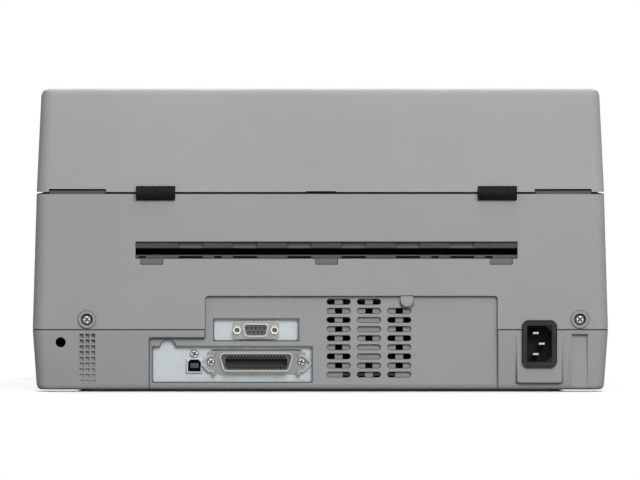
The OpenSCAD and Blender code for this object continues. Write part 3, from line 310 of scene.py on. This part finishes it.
def painted_crease_shade(f):
    """Painted shade in the corners of the sunk panel, its windows, the notch, the inlet pad and the round tab, just
    inside the panel's edge, and along the foot.
    """
    x, y, z = f.axes()
    panel = outside(x, z, *sunk_panel) & outside(x, z, *panel_step)
    windows = outside(x, z, *serial_window) & outside(x, z, *wide_window)
    notch = round_line(f, x, z, window_notch, 0.0051, 3e-6, 10e-6, 0.8) * (z > 0.0298)
    line = f.line(panel, 0.00025, 0.0009, 0.7) | f.line(windows, 0.0004, 0.0011, 0.85) | notch
    pad = f.line(outside(x, z, *inlet_pad), 0.00025, 0.0009, 0.7) * f.soft(z, 0.010, 0.030, 1.0, 0.1)
    tab = round_line(f, x, z, round_tab, 0.0044, 2e-6, 7e-6, 0.75) * (z < 0.0645)
    # Painted shadow just inside the edge of the sunk panel.
    sheltered = (panel < 0.0) * f.soft(panel, -0.004, 0.0, 0.0, 0.12)
    # Painted shade, darker towards the bottom edge.
    foot = f.soft(z, 0.0014, 0.0036, 0.5, 0.0)
    return (y > panel_y) * (line | pad | tab | sheltered | vent_rings(f, x, z)) | foot | seam_painted_shade(x, y, z)


def rim_shade(f):
    """Painted shade: black under the rim, dark lines at the seam and the half-round tab,
    and dark in the two screw wells and round their bosses."""
    x, y, z = f.axes()
    tab_line = (abs(z - 0.0641) < 0.0004) * (abs(x - round_tab[0]) < 0.0043) * (y > wall_y) * 0.8
    a, b = nearest(x, screw_xs), z - screw_z
    away = a * a + b * b
    well = (away < 0.0039 ** 2) * 0.93 | f.line(away - 0.0061 ** 2, 1e-6, 8e-6, 0.5)
    rim = (z > 0.1321) * (y < 0.1318) | (z > rim_z) * 0.9
    return rim | tab_line | seam_painted_shade(x, y, z) | well * (y > wall_y)


for name, grey, dust, painted_shade in (("lower_case", (0.322, 0.326, 0.332), 0.04, painted_crease_shade),
                               ("upper_case", (0.322, 0.327, 0.334), 0.04, rim_shade),
                               ("top_cover", (0.350, 0.356, 0.363), 0.10, None)):
    dress(name, moulded(name + "_abs", grey, 0.56, dust=dust, painted_shade=painted_shade, shine=0.07), 0.0004)

# ---------------------------------------------------------------- front table
# A darker moulded plate that lies in the front opening of the case. Sheets slide
# over its low ribs, so it is rubbed a little smoother than the case.
dress("front_table", moulded("table_abs", (0.17, 0.175, 0.18), 0.36), 0.0004)

# ---------------------------------------------------------------- base and feet
# A black coated sheet closes the bottom, and four rubber discs set in its holes
# carry the machine.
dress("base_plate", moulded("coated_sheet", (0.012, 0.012, 0.013), 0.45, 0.00003), 0.0002)
dress("rubber_feet", moulded("foot_rubber", (0.012, 0.012, 0.012), 0.75, 0.00008))

# ---------------------------------------------------------------- hinges
# Black nylon barrels, ribbed along their length, on blackened steel pins. Each leaf
# is screwed to a pad inside the wall.
def ribbed_nylon():
    """Black nylon with a fine rib across the barrel every 1.24 mm, painted lighter on the crests and darker in the
    grooves as painted light and shade.
    """
    f = Finish("ribbed_nylon")
    half_rib = 0.00062
    rib = zigzag(f, f.axes()[0], half_rib) / half_rib
    fine = f.noise(2600, 2, 0.6)
    # Painted light and shade: the rib crests lighter, the grooves darker.
    tone = f.blend(f.soft(rib, 0.25, 0.85), (0.002, 0.002, 0.002), (0.018, 0.018, 0.019))
    return f.wear(colour=tone, rough=f.soft(fine, 0.3, 0.7, 0.5, 0.62),
                  bump=f.relief(rib + fine * 0.2, 0.00022, 0.8), Specular_IOR_Level=0.08)


black_nylon = ribbed_nylon()
for name in ("hinge_base", "hinge_leaf"):
    dress(name, black_nylon)


def metal(name, colour, rough, grain=(1, 1, 1), scale=700, flake=0.0, pure=1.0, bright=None):
    """Plated or ground metal with its grain stretched along an axis, flakes of zinc
    if asked, and a second colour where a mask says so, for painted highlights and painted shade."""
    f = Finish(name)
    line = f.noise(scale, 3, 0.6, grain)
    tone = f.blend(f.soft(f.noise(30, 3, 0.6), 0.3, 0.7), shade(colour, 0.92), shade(colour, 1.06))
    gloss = f.soft(line, 0.3, 0.7, rough - 0.06, rough + 0.06)
    if flake:
        cell = f.add("TexVoronoi", {"feature": "F1"}, out=1, Vector=f.place(), Scale=260)
        tint = f.add("SeparateColor", out=0, Color=cell)
        r, g, b = colour
        tone = f.blend(tint * flake, tone, (r * 0.72, g * 0.75, b * 0.8))
        gloss = gloss + f.soft(tint, 0, 1, -0.08, 0.10)
    # Painted light and shade: the mask lays a second colour over the metal.
    if bright:
        where, second = bright
        tone = f.blend(where(f), tone, second)
    return f.wear(colour=tone, rough=gloss, bump=f.relief(line, 0.000012, 0.4), Metallic=pure)


dress("hinge_pins", metal("blackened_pin", (0.02, 0.02, 0.021), 0.45, (0.05, 1, 1), pure=0.4))


# ---------------------------------------------------------------- screws
# Zinc plated pan heads with a cross slot, with painted shade in the recess.
# The two large ones stand in bosses of the case, the others hold the ports.
def partly(o, mat, test):
    """Gives a second finish to the faces whose centre passes the test."""
    o.data.materials.append(mat)
    for p in o.data.polygons:
        if test(p.center):
            p.material_index = len(o.data.materials) - 1


def stand(name, bm, mat):
    """Makes the object of a finished mesh, which rides on the fixed frame."""
    bmesh.ops.recalc_face_normals(bm, faces=bm.faces)
    me = bpy.data.meshes.new(name)
    bm.to_mesh(me)
    bm.free()
    me.materials.append(mat)
    for p in me.polygons:
        p.use_smooth = True
    o = bpy.data.objects.new(name, me)
    bpy.context.scene.collection.objects.link(o)
    n = o.modifiers.new("faces", "WEIGHTED_NORMAL")
    n.keep_sharp = True
    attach(o, "frame")
    return o


def lathe(bm, profile, place, steps=28):
    """Turns a profile of (radius, height) pairs; place maps a point of the turned form."""
    rings = []
    for r, h in profile:
        turns = [2 * math.pi * i / steps for i in range(steps if r > 1e-7 else 1)]
        rings.append([bm.verts.new(place((r * math.cos(a), r * math.sin(a), h))) for a in turns])
    for a, b in zip(rings, rings[1:]):
        for i in range(steps):
            j = (i + 1) % steps
            ring = [a[i % len(a)], a[j % len(a)], b[j % len(b)], b[i % len(b)]]
            corners = list(dict.fromkeys(ring))
            if len(corners) > 2:
                bm.faces.new(corners)


def pan_screw(bm, centre, head, shank, turn):
    """A domed head with a cross recess pressed in, and its shank, lying along Y."""
    (x, top, z), (r, t), (shank_r, shank_l) = centre, head, shank
    cos, sin = math.cos(turn), math.sin(turn)

    def ramp(value):
        return max(0.0, min(1.0, value + 0.5))

    def pressed(px, pz):
        """How deep the recess is, from 0 on the dome to 1 on the floor of the cross."""
        across, along = sorted((abs(px * cos + pz * sin), abs(pz * cos - px * sin)))
        return ramp((r * 0.14 - across) / (r * 0.05)) * ramp((r * 0.66 - along) / (r * 0.08))

    def place(p):
        deep = pressed(p[0], p[1]) * t * 0.5 if p[2] > t * 0.5 else 0.0
        return x + p[0], top - t + p[2] - deep, z + p[1]

    dome, steps = [], 26
    for i in range(steps):
        out = i / steps
        dome.append((r * i / steps, t * (1 - 0.13 * out ** 2 - 1.36 * max(0, out - 0.72))))
    point = [(shank_r, -shank_l + 0.0006), (shank_r * 0.5, -shank_l), (0, -shank_l)]
    before = len(bm.faces)
    lathe(bm, dome + [(r, t * 0.45), (r, 0), (shank_r, 0)] + point, place, 64)
    bm.faces.ensure_lookup_table()
    for f in bm.faces[before:]:
        c = f.calc_center_median()
        # Faces in the cross recess take the second finish, which is painted shade.
        f.material_index = int(c.y > top - t * 0.9 and pressed(c.x - x, c.z - z) > 0.4)


zinc = metal("zinc_screw", (0.50, 0.51, 0.50), 0.42, scale=1500)
# The second finish of the screws is painted shade for the cross recesses.
recess_painted_shade = metal("cross_recess_painted_shade", (0.045, 0.045, 0.047), 0.5, scale=1500, pure=0.4)

# The five screws are made again here, in place of the CAD node, because the crosses
# in the photograph are turned: two in the case, two at the wide port, one at the square.
case_head, case_shank = (0.00305, 0.002), (0.0015, 0.0056)
wide_head, square_head, port_shank = (0.0027, 0.0017), (0.0029, 0.0017), (0.00125, 0.006)
bm = bmesh.new()
for centre, head, shank, turn in (((0.1556, 0.138, 0.0481), case_head, case_shank, 0.72),
                                  ((-0.173, 0.138, 0.0482), case_head, case_shank, 0.86),
                                  ((0.0729, 0.1343, 0.0198), wide_head, port_shank, 0.6),
                                  ((0.0127, 0.1343, 0.0198), wide_head, port_shank, 0.3),
                                  ((0.084, 0.1333, 0.0253), square_head, port_shank, 0.5)):
    pan_screw(bm, centre, head, shank, turn)
cross_screws = stand("cross_screws", bm, zinc)
cross_screws.data.materials.append(recess_painted_shade)
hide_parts("screws")

# ---------------------------------------------------------------- shield sheet
# Thin galvanised sheet, pale and a little blue, clamped behind the rear panel. It
# carries the ports and shows in both windows.
dress("shield_plate", metal("galvanised_sheet", (0.495, 0.537, 0.549), 0.5, (1, 0.2, 1), 500, flake=0.05, pure=0.3))

# ---------------------------------------------------------------- nine-way port
# A nickel plated shell, drawn from sheet, with a painted highlight on its mouth round a dark insert.
# Two hexagon standoffs hold it to the shield sheet and take the plug's screws.
serial_x, serial_z, half_pitch = 0.043, 0.0411, 0.0125


def thread_bore(f):
    """The tapped holes of the two hexagon standoffs, darkened with painted shade."""
    x, _, z = f.axes()
    a, b = abs(x - serial_x) - half_pitch, z - serial_z
    return f.soft(a * a + b * b, 0.0016 ** 2, 0.00175 ** 2, 1.0, 0.0)


def mouth_beyond(y):
    """A mask of the rolled mouth, which stands out beyond y, for a painted highlight."""
    return lambda f: f.axes()[1] > y


dress("serial_standoffs", metal("nickel_hex", (0.74, 0.73, 0.69), 0.24, scale=1500,
                                bright=(thread_bore, (0.12, 0.12, 0.12))), 0.00015)
dress("serial_shell", metal("nickel_serial", (0.31, 0.308, 0.303), 0.34, (1, 1, 0.2), 900,
                            bright=(mouth_beyond(0.1362), (0.50, 0.495, 0.485))), 0.0003, 3)
# Painted shade: the faces deep in the holes and slots of the inserts are made near black.
contact_painted_shade = moulded("contact_slots_painted_shade", (0.004, 0.004, 0.004), 0.6, 0.00003, shine=0.1)
partly(dress("serial_insert", moulded("filled_nylon", (0.075, 0.077, 0.080), 0.5, 0.00003)), contact_painted_shade,
       lambda c: c.y < 0.1362)

# ---------------------------------------------------------------- 36-way port
# A duller nickel shell on the shield sheet, with two rows of contacts in a nylon
# tongue. Two sprung wire bails turn in its ends and clip over the plug.
wide_x, wide_z, tongue_y = 0.0427, 0.0196, 0.1367


def within(c, x, z, half_x, half_z):
    """Whether a face centre lies in a rectangle of the rear view."""
    return abs(c.x - x) < half_x and abs(c.z - z) < half_z


# Painted highlight on the mouth of the shell, and painted shade in the slot of the tongue and round its contacts.
dress("parallel_shell", metal("nickel_wide", (0.255, 0.257, 0.253), 0.34, (1, 1, 0.2), 900,
                              bright=(mouth_beyond(0.1370), (0.40, 0.397, 0.39))), 0.0003, 3)
wide_insert = dress("parallel_insert", moulded("wide_nylon", (0.088, 0.086, 0.081), 0.5, 0.00003, shine=0.25))
partly(wide_insert, contact_painted_shade, lambda c: c.y < tongue_y and within(c, wide_x, wide_z, 0.0209, 0.0046))
partly(wide_insert, moulded("tongue_floor_painted_shade", (0.055, 0.053, 0.048), 0.6, 0.00003, shine=0.1),
       lambda c: c.y < tongue_y and within(c, wide_x, wide_z, 0.0200, 0.0028))
spring_wire = metal("spring_wire", (0.40, 0.41, 0.41), 0.3, (1, 1, 0.1), 1200)
for name in ("bail_left", "bail_right"):
    dress(name, spring_wire, 0.0003, 3)

# ---------------------------------------------------------------- square port
# A black moulding with a dark grey tongue, soldered to the board behind. Its nickel
# shell shows as a thin frame with the two upper corners of the opening cut.
square_x, square_z, rim_back = 0.084, 0.0174, 0.1317
black_port = moulded("port_nylon", (0.010, 0.010, 0.011), 0.4, 0.00003, shine=0.25)
tongue_grey = moulded("tongue_nylon", (0.05, 0.05, 0.053), 0.45, 0.00003)
partly(dress("usb_port", black_port, 0.0001), tongue_grey,
       lambda c: within(c, square_x, square_z, 0.0030, 0.0018) and c.y < 0.1321)

hole = [(-0.0042, -0.0039), (0.0042, -0.0039), (0.0042, 0.0021), (0.0025, 0.0039), (-0.0025, 0.0039),
        (-0.0042, 0.0021)]
rim = [(-0.0053, -0.00495), (0.0053, -0.00495), (0.0053, 0.0026), (0.0053, 0.00495), (-0.0053, 0.00495),
       (-0.0053, 0.0026)]
bm = bmesh.new()
loops = [[bm.verts.new((square_x + a * grow, y, square_z + b * grow)) for a, b in line]
         for line, grow, y in ((hole, 1, rim_back), (hole, 1, 0.13302), (hole, 1.06, 0.13316),
                               (rim, 0.97, 0.13312), (rim, 1, 0.13295), (rim, 1, rim_back))]
for one, two in zip(loops, loops[1:] + loops[:1]):
    for i in range(6):
        bm.faces.new([one[i], one[(i + 1) % 6], two[(i + 1) % 6], two[i]])
stand("usb_shell", bm, metal("usb_nickel", (0.44, 0.46, 0.47), 0.4, (1, 1, 0.2), 900, pure=0.5))

# ---------------------------------------------------------------- power inlet
# A charcoal nylon socket, snapped into the raised pad of the rear wall from outside,
# with three plated blades that take the plug of the cord.
flange = (-0.1577, -0.1343, 0.0163, 0.0478)
cavity = (-0.15405, -0.13795, 0.0202, 0.0439)
blade_zs = (0.0391, 0.032, 0.0251)


def inlet_edges(f):
    """Painted shade: darker edges round the flange and the mouth, and a black cavity."""
    x, y, z = f.axes()
    flange_edge_shade = f.soft(outside(x, z, *flange), -0.0011, -0.0005, 0.0, 0.8)
    return flange_edge_shade | f.soft(outside(x, z, *cavity), 0.0002, 0.0009, 0.8, 0.0) | (y < 0.1390) * 0.8


def blade_sides(f):
    """Painted shade over all of each blade but a band on its rounded end, left bright as a painted highlight."""
    _, y, z = f.axes()
    return 1 - f.soft(nearest(z, blade_zs), 0.0003, 0.0008, 1.0, 0.0) * (y > 0.1343)


inlet_nylon = moulded("inlet_nylon", (0.036, 0.037, 0.040), 0.4, 0.00003, painted_shade=inlet_edges, shine=0.07)
dress("inlet_frame", inlet_nylon, 0.0004, 3)
dress("inlet_pins", metal("blade_plating", (0.55, 0.54, 0.51), 0.3, (1, 0.1, 1), 900,
                          bright=(blade_sides, (0.02, 0.02, 0.02))), 0.0002)

# ---------------------------------------------------------------- chassis
# Tray, side plates, beams and brackets are folded from galvanised sheet and screwed
# to the lower case. The platen is a ground steel bar between the side plates.
chassis_sheet = metal("chassis_sheet", (0.52, 0.54, 0.56), 0.42, (0.3, 1, 1), 400, flake=0.3, pure=0.8)
for name in ("chassis_tray", "side_plate_left", "side_plate_right", "cross_beams", "belt_brackets",
             "power_supply", "carriage_rail"):
    dress(name, chassis_sheet, 0.0002)
dress("platen", metal("platen_steel", (0.22, 0.225, 0.23), 0.3, (0.05, 1, 1), 900), 0.0003)

# ---------------------------------------------------------------- paper feed
# Steel shafts with ground rubber tyres turn in the side plates, with acetal gears
# outside the left one and grey pinch rollers above. The motor is a black square can.
path_x, roller_z, shaft_r, tyre_half_span = -0.0041, 0.084, 0.0052, 0.12
ground_rubber = moulded("ground_rubber", (0.030, 0.031, 0.034), 0.72, 0.00008)
shaft_steel = metal("ground_shaft", (0.60, 0.61, 0.62), 0.2, (0.02, 1, 1), 1500)
for name, at in (("feed_roller_front", -0.040), ("feed_roller_rear", 0.050)):
    partly(dress(name, shaft_steel), ground_rubber,
           lambda c, at=at: math.hypot(c.y - at, c.z - roller_z) > shaft_r and abs(c.x - path_x) < tyre_half_span)
pinch_grey = moulded("pinch_acetal", (0.25, 0.255, 0.26), 0.4)
for name in ("pinch_roller_front", "pinch_roller_rear"):
    dress(name, pinch_grey)
acetal = moulded("white_acetal", (0.68, 0.67, 0.62), 0.32, 0.00002)
for name in ("feed_gear_front", "feed_gear_rear", "idler_gear", "pinion_gear", "idler_pulley"):
    dress(name, acetal)
motor_can = moulded("motor_paint", (0.05, 0.052, 0.056), 0.32, 0.00003)
for name in ("feed_motor", "carriage_motor"):
    dress(name, motor_can, 0.0004)

# ---------------------------------------------------------------- paper guides
# Two dark mouldings whose rear edges show in the slot, cut into six sunk segments,
# with a black gate between them that drops through the path to align a sheet.
half_pocket_pitch, outer_pocket_x = 0.0181, 0.099
short_slit_xs = (0.1186, 0.0682, -0.0764, -0.1125)


def pocket_distance(f):
    """How far a point is from the middle of the nearest of six pockets along X."""
    x = f.axes()[0] - path_x
    return zigzag(f, x - half_pocket_pitch, half_pocket_pitch) | (abs(x) - outer_pocket_x)


def lip_slits(f):
    """Painted shade: black in the slits of the rear lip, darker under the lip and tabs; the lip above 88.7 mm is
    made darker too.
    """
    x, y, z = f.axes()
    slit = (pocket_distance(f) < 0.00795) | (nearest(x, short_slit_xs) < 0.00245)
    slit = slit * (abs(z - 0.08985) < 0.00062)
    under = f.soft(z, 0.0886, 0.0893, 0.6, 0.0) * (z > 0.0885) | f.soft(z, 0.0849, 0.0856, 0.7, 0.0)
    return (y > 0.121) * (slit | under | (z > 0.0887) * 0.58)


def segment_edges(f):
    """Painted shade: dark upright lines where the sunk segments of the rear edge begin, and darker towards the top;
    the wide segments between are made darker too.
    """
    _, y, z = f.axes()
    near, half_segment = pocket_distance(f), 0.0078
    line = f.line(near - half_segment, 0.0002, 0.0006, 0.85) * (z > 0.0962)
    top = f.soft(z, 0.0980, 0.0999, 0.0, 0.6)
    return (y > panel_y) * (line | top | (near > half_segment) * 0.6)


dress("guide_lower", moulded("guide_abs", (0.145, 0.148, 0.152), 0.46, painted_shade=lip_slits, shine=0.2), 0.0002)
dress("guide_upper", moulded("guide_dark", (0.128, 0.130, 0.133), 0.46, painted_shade=segment_edges, shine=0.2), 0.0002)
gate_nylon = moulded("gate_nylon", (0.008, 0.008, 0.009), 0.55, 0.00003, shine=0.15)
dress("paper_gate", gate_nylon, 0.0001)


# Black fences stand between the guides and close the ends of the paper path, one
# pair behind the gate and one before it. Their ends are drawn in to lead a sheet.
def plate(name, outline, z0, z1, bevel, mat):
    """A flat piece: an outline in X and Y raised from z0 to z1, with eased edges."""
    bm = bmesh.new()
    low = bm.faces.new([bm.verts.new((x, y, z0)) for x, y in outline])
    up = bmesh.ops.extrude_face_region(bm, geom=[low])["geom"]
    bmesh.ops.translate(bm, verts=[v for v in up if isinstance(v, bmesh.types.BMVert)], vec=(0, 0, z1 - z0))
    bmesh.ops.recalc_face_normals(bm, faces=bm.faces)
    bmesh.ops.bevel(bm, geom=bm.edges[:], offset=bevel, segments=2, affect="EDGES", clamp_overlap=True)
    stand(name, bm, mat)


drawn_in, lead = 0.0011, 0.004
for side, inner, outer in (("left", 0.1247, 0.1272), ("right", -0.1329, -0.1354)):
    tip = inner + math.copysign(drawn_in, outer)
    for where, y0, y1 in (("rear", 0.0118, 0.1262), ("front", -0.0905, -0.0142)):
        outline = [(tip, y0), (outer, y0), (outer, y1), (tip, y1), (inner, y1 - lead), (inner, y0 + lead)]
        plate(f"fence_{side}_{where}", outline, 0.0912, 0.0956, 0.00025, gate_nylon)

# ---------------------------------------------------------------- carriage
# The glass-filled carriage slides on a ground shaft in bronze bushes and carries
# the finned head. A rubber belt pulls it from pulley to pulley.
dress("carriage_shaft", shaft_steel)
dress("carriage", moulded("carriage_nylon", (0.022, 0.022, 0.024), 0.48, 0.00006), 0.0005)
dress("carriage_bushes", metal("bush_bronze", (0.42, 0.24, 0.08), 0.4, scale=2500))
dress("print_head", metal("head_alloy", (0.06, 0.062, 0.068), 0.42, scale=2000), 0.0003)
dress("motor_pulley", metal("pulley_alloy", (0.6, 0.61, 0.61), 0.3, (1, 0.1, 1)))
dress("timing_belt", moulded("belt_rubber", (0.012, 0.012, 0.012), 0.6))

# Four zinc screws hold the carriage motor to its bracket, heads towards the front.
motor_x, motor_z, bolt_half, bracket_y = 0.130, 0.121, 0.0155, 0.0690
socket_head = [(0, 0), (0.0027, 0), (0.0027, 0.0007), (0.0024, 0.0013), (0.0015, 0.00165), (0.0013, 0.00165),
               (0.0011, 0.0008), (0, 0.0006)]
bm = bmesh.new()
for cx in (motor_x - bolt_half, motor_x + bolt_half):
    for cz in (motor_z - bolt_half, motor_z + bolt_half):
        lathe(bm, socket_head, lambda p, cx=cx, cz=cz: (cx + p[0], bracket_y - p[2], cz + p[1]))
stand("motor_screws", bm, zinc)

# ---------------------------------------------------------------- ribbon
# A black cartridge lies over the front guide; its arms hold a band of inked
# cloth under the head, and a blue knob takes up the slack.
dress("ribbon_cartridge", moulded("cartridge_styrene", (0.013, 0.013, 0.015), 0.3, 0.00002), 0.0006)
dress("ribbon_knob", moulded("knob_styrene", (0.03, 0.12, 0.24), 0.34), 0.0004)


def label_paper():
    """Bare paper with a thin printed border, a little rubbed."""
    f = Finish("label_paper")
    x, y, _ = f.axes()
    fibre = f.noise(2400, 3, 0.6, (1, 0.4, 1))
    tone = f.blend(f.soft(fibre, 0.35, 0.65), (0.62, 0.61, 0.57), (0.70, 0.69, 0.65))
    border = abs(outside(x, y, -0.1346, 0.0644, -0.0780, -0.0575)) < 0.0003
    tone = f.blend(border * 0.8, tone, (0.10, 0.14, 0.2))
    rub = f.soft(f.noise(90, 4, 0.7), 0.55, 0.75, 0.0, 0.35)
    return f.wear(colour=f.blend(rub, tone, (0.42, 0.41, 0.39)), rough=f.soft(fibre, 0.3, 0.7, 0.6, 0.75),
                  bump=f.relief(fibre, 0.00002, 0.5))


# The label lies in the shallow recess on the top of the cartridge.
plate("cartridge_label", [(-0.1366, -0.0800), (0.0664, -0.0800), (0.0674, -0.0790), (0.0674, -0.0565),
                          (0.0664, -0.0555), (-0.1366, -0.0555), (-0.1376, -0.0565), (-0.1376, -0.0790)],
      0.1190, 0.11915, 0.00004, label_paper())


def inked_cloth():
    """Black woven nylon, wet in patches with ink."""
    f = Finish("inked_cloth")
    across = f.add("TexWave", {"bands_direction": "X"}, Vector=f.place(), Scale=900)
    along = f.add("TexWave", {"bands_direction": "Y"}, Vector=f.place(), Scale=900)
    weave = across * along
    tone = f.blend(f.noise(120, 3), (0.006, 0.006, 0.008), (0.02, 0.02, 0.024))
    return f.wear(colour=tone, rough=f.soft(weave, 0, 1, 0.85, 0.6), bump=f.relief(weave, 0.00003, 0.6))


dress("ribbon_strip", inked_cloth())

# ---------------------------------------------------------------- electronics
# A green glass-epoxy board on posts of the tray, with dark chips, capacitors and
# plugs, beside the caged supply.
def solder_mask():
    """Green lacquer over tracks, with pale pads, and dark where the rear wall shades it."""
    f = Finish("solder_mask")
    lanes = f.add("TexBrick", {"offset": 0.5}, out=1, Vector=f.place(), Scale=230, i5=0.035)
    track = f.soft(lanes, 0.2, 0.8)
    tone = f.blend(track, (0.012, 0.10, 0.035), (0.02, 0.17, 0.06))
    tone = f.blend(f.soft(f.noise(700, 1), 0.66, 0.7), tone, (0.5, 0.48, 0.4))
    tone = f.blend(f.axes()[1] > 0.1180, tone, (0.004, 0.005, 0.004))
    return f.wear(colour=tone, rough=f.soft(track, 0, 1, 0.32, 0.26), bump=f.relief(track, 0.00003, 0.5),
                  Coat_Weight=0.3)


dress("main_board", solder_mask())
dress("board_parts", moulded("chip_epoxy", (0.018, 0.018, 0.02), 0.5))

# ---------------------------------------------------------------- controls
# Bezel with three pale buttons under small lamps on the front, and the rocker
# switch low on the other side.
dress("control_panel", moulded("panel_abs", (0.10, 0.105, 0.11), 0.36), 0.0004)
button_abs = moulded("button_abs", (0.55, 0.57, 0.58), 0.36)
for name in ("button_feed", "button_tear", "button_online"):
    dress(name, button_abs, 0.0004)
switch_black = moulded("switch_nylon", (0.014, 0.014, 0.016), 0.26, 0.00002)
for name in ("power_switch", "power_rocker"):
    dress(name, switch_black, 0.0004)


def lens_acrylic(name, colour):
    """Tinted acrylic with a faint glow of the lamp behind."""
    f = Finish(name)
    haze = f.noise(900, 2)
    tone = f.blend(f.soft(haze, 0.3, 0.7), shade(colour, 0.85), colour)
    return f.wear(colour=tone, rough=f.soft(haze, 0.3, 0.7, 0.12, 0.22), Coat_Weight=0.4,
                  Emission_Strength=0.25, Emission_Color=(*colour, 1))


# Three small domed lenses fill the windows over the buttons: green, green and amber.
window_y, window_z = -0.0960, 0.121
green, amber = (0.10, 0.42, 0.12), (0.62, 0.30, 0.04)
lens_dome = [(0, 0), (0.00152, 0), (0.00152, 0.0016), (0.0014, 0.0020), (0.0011, 0.00235), (0.0006, 0.0026),
             (0, 0.0027)]
for lens, x, colour in (("feed_lens", 0.146, green), ("tear_lens", 0.157, green), ("online_lens", 0.168, amber)):
    bm = bmesh.new()
    lathe(bm, lens_dome, lambda p, x=x: (x + p[0], window_y - p[2], window_z + p[1]), 24)
    stand(lens, bm, lens_acrylic(lens + "_acrylic", colour))
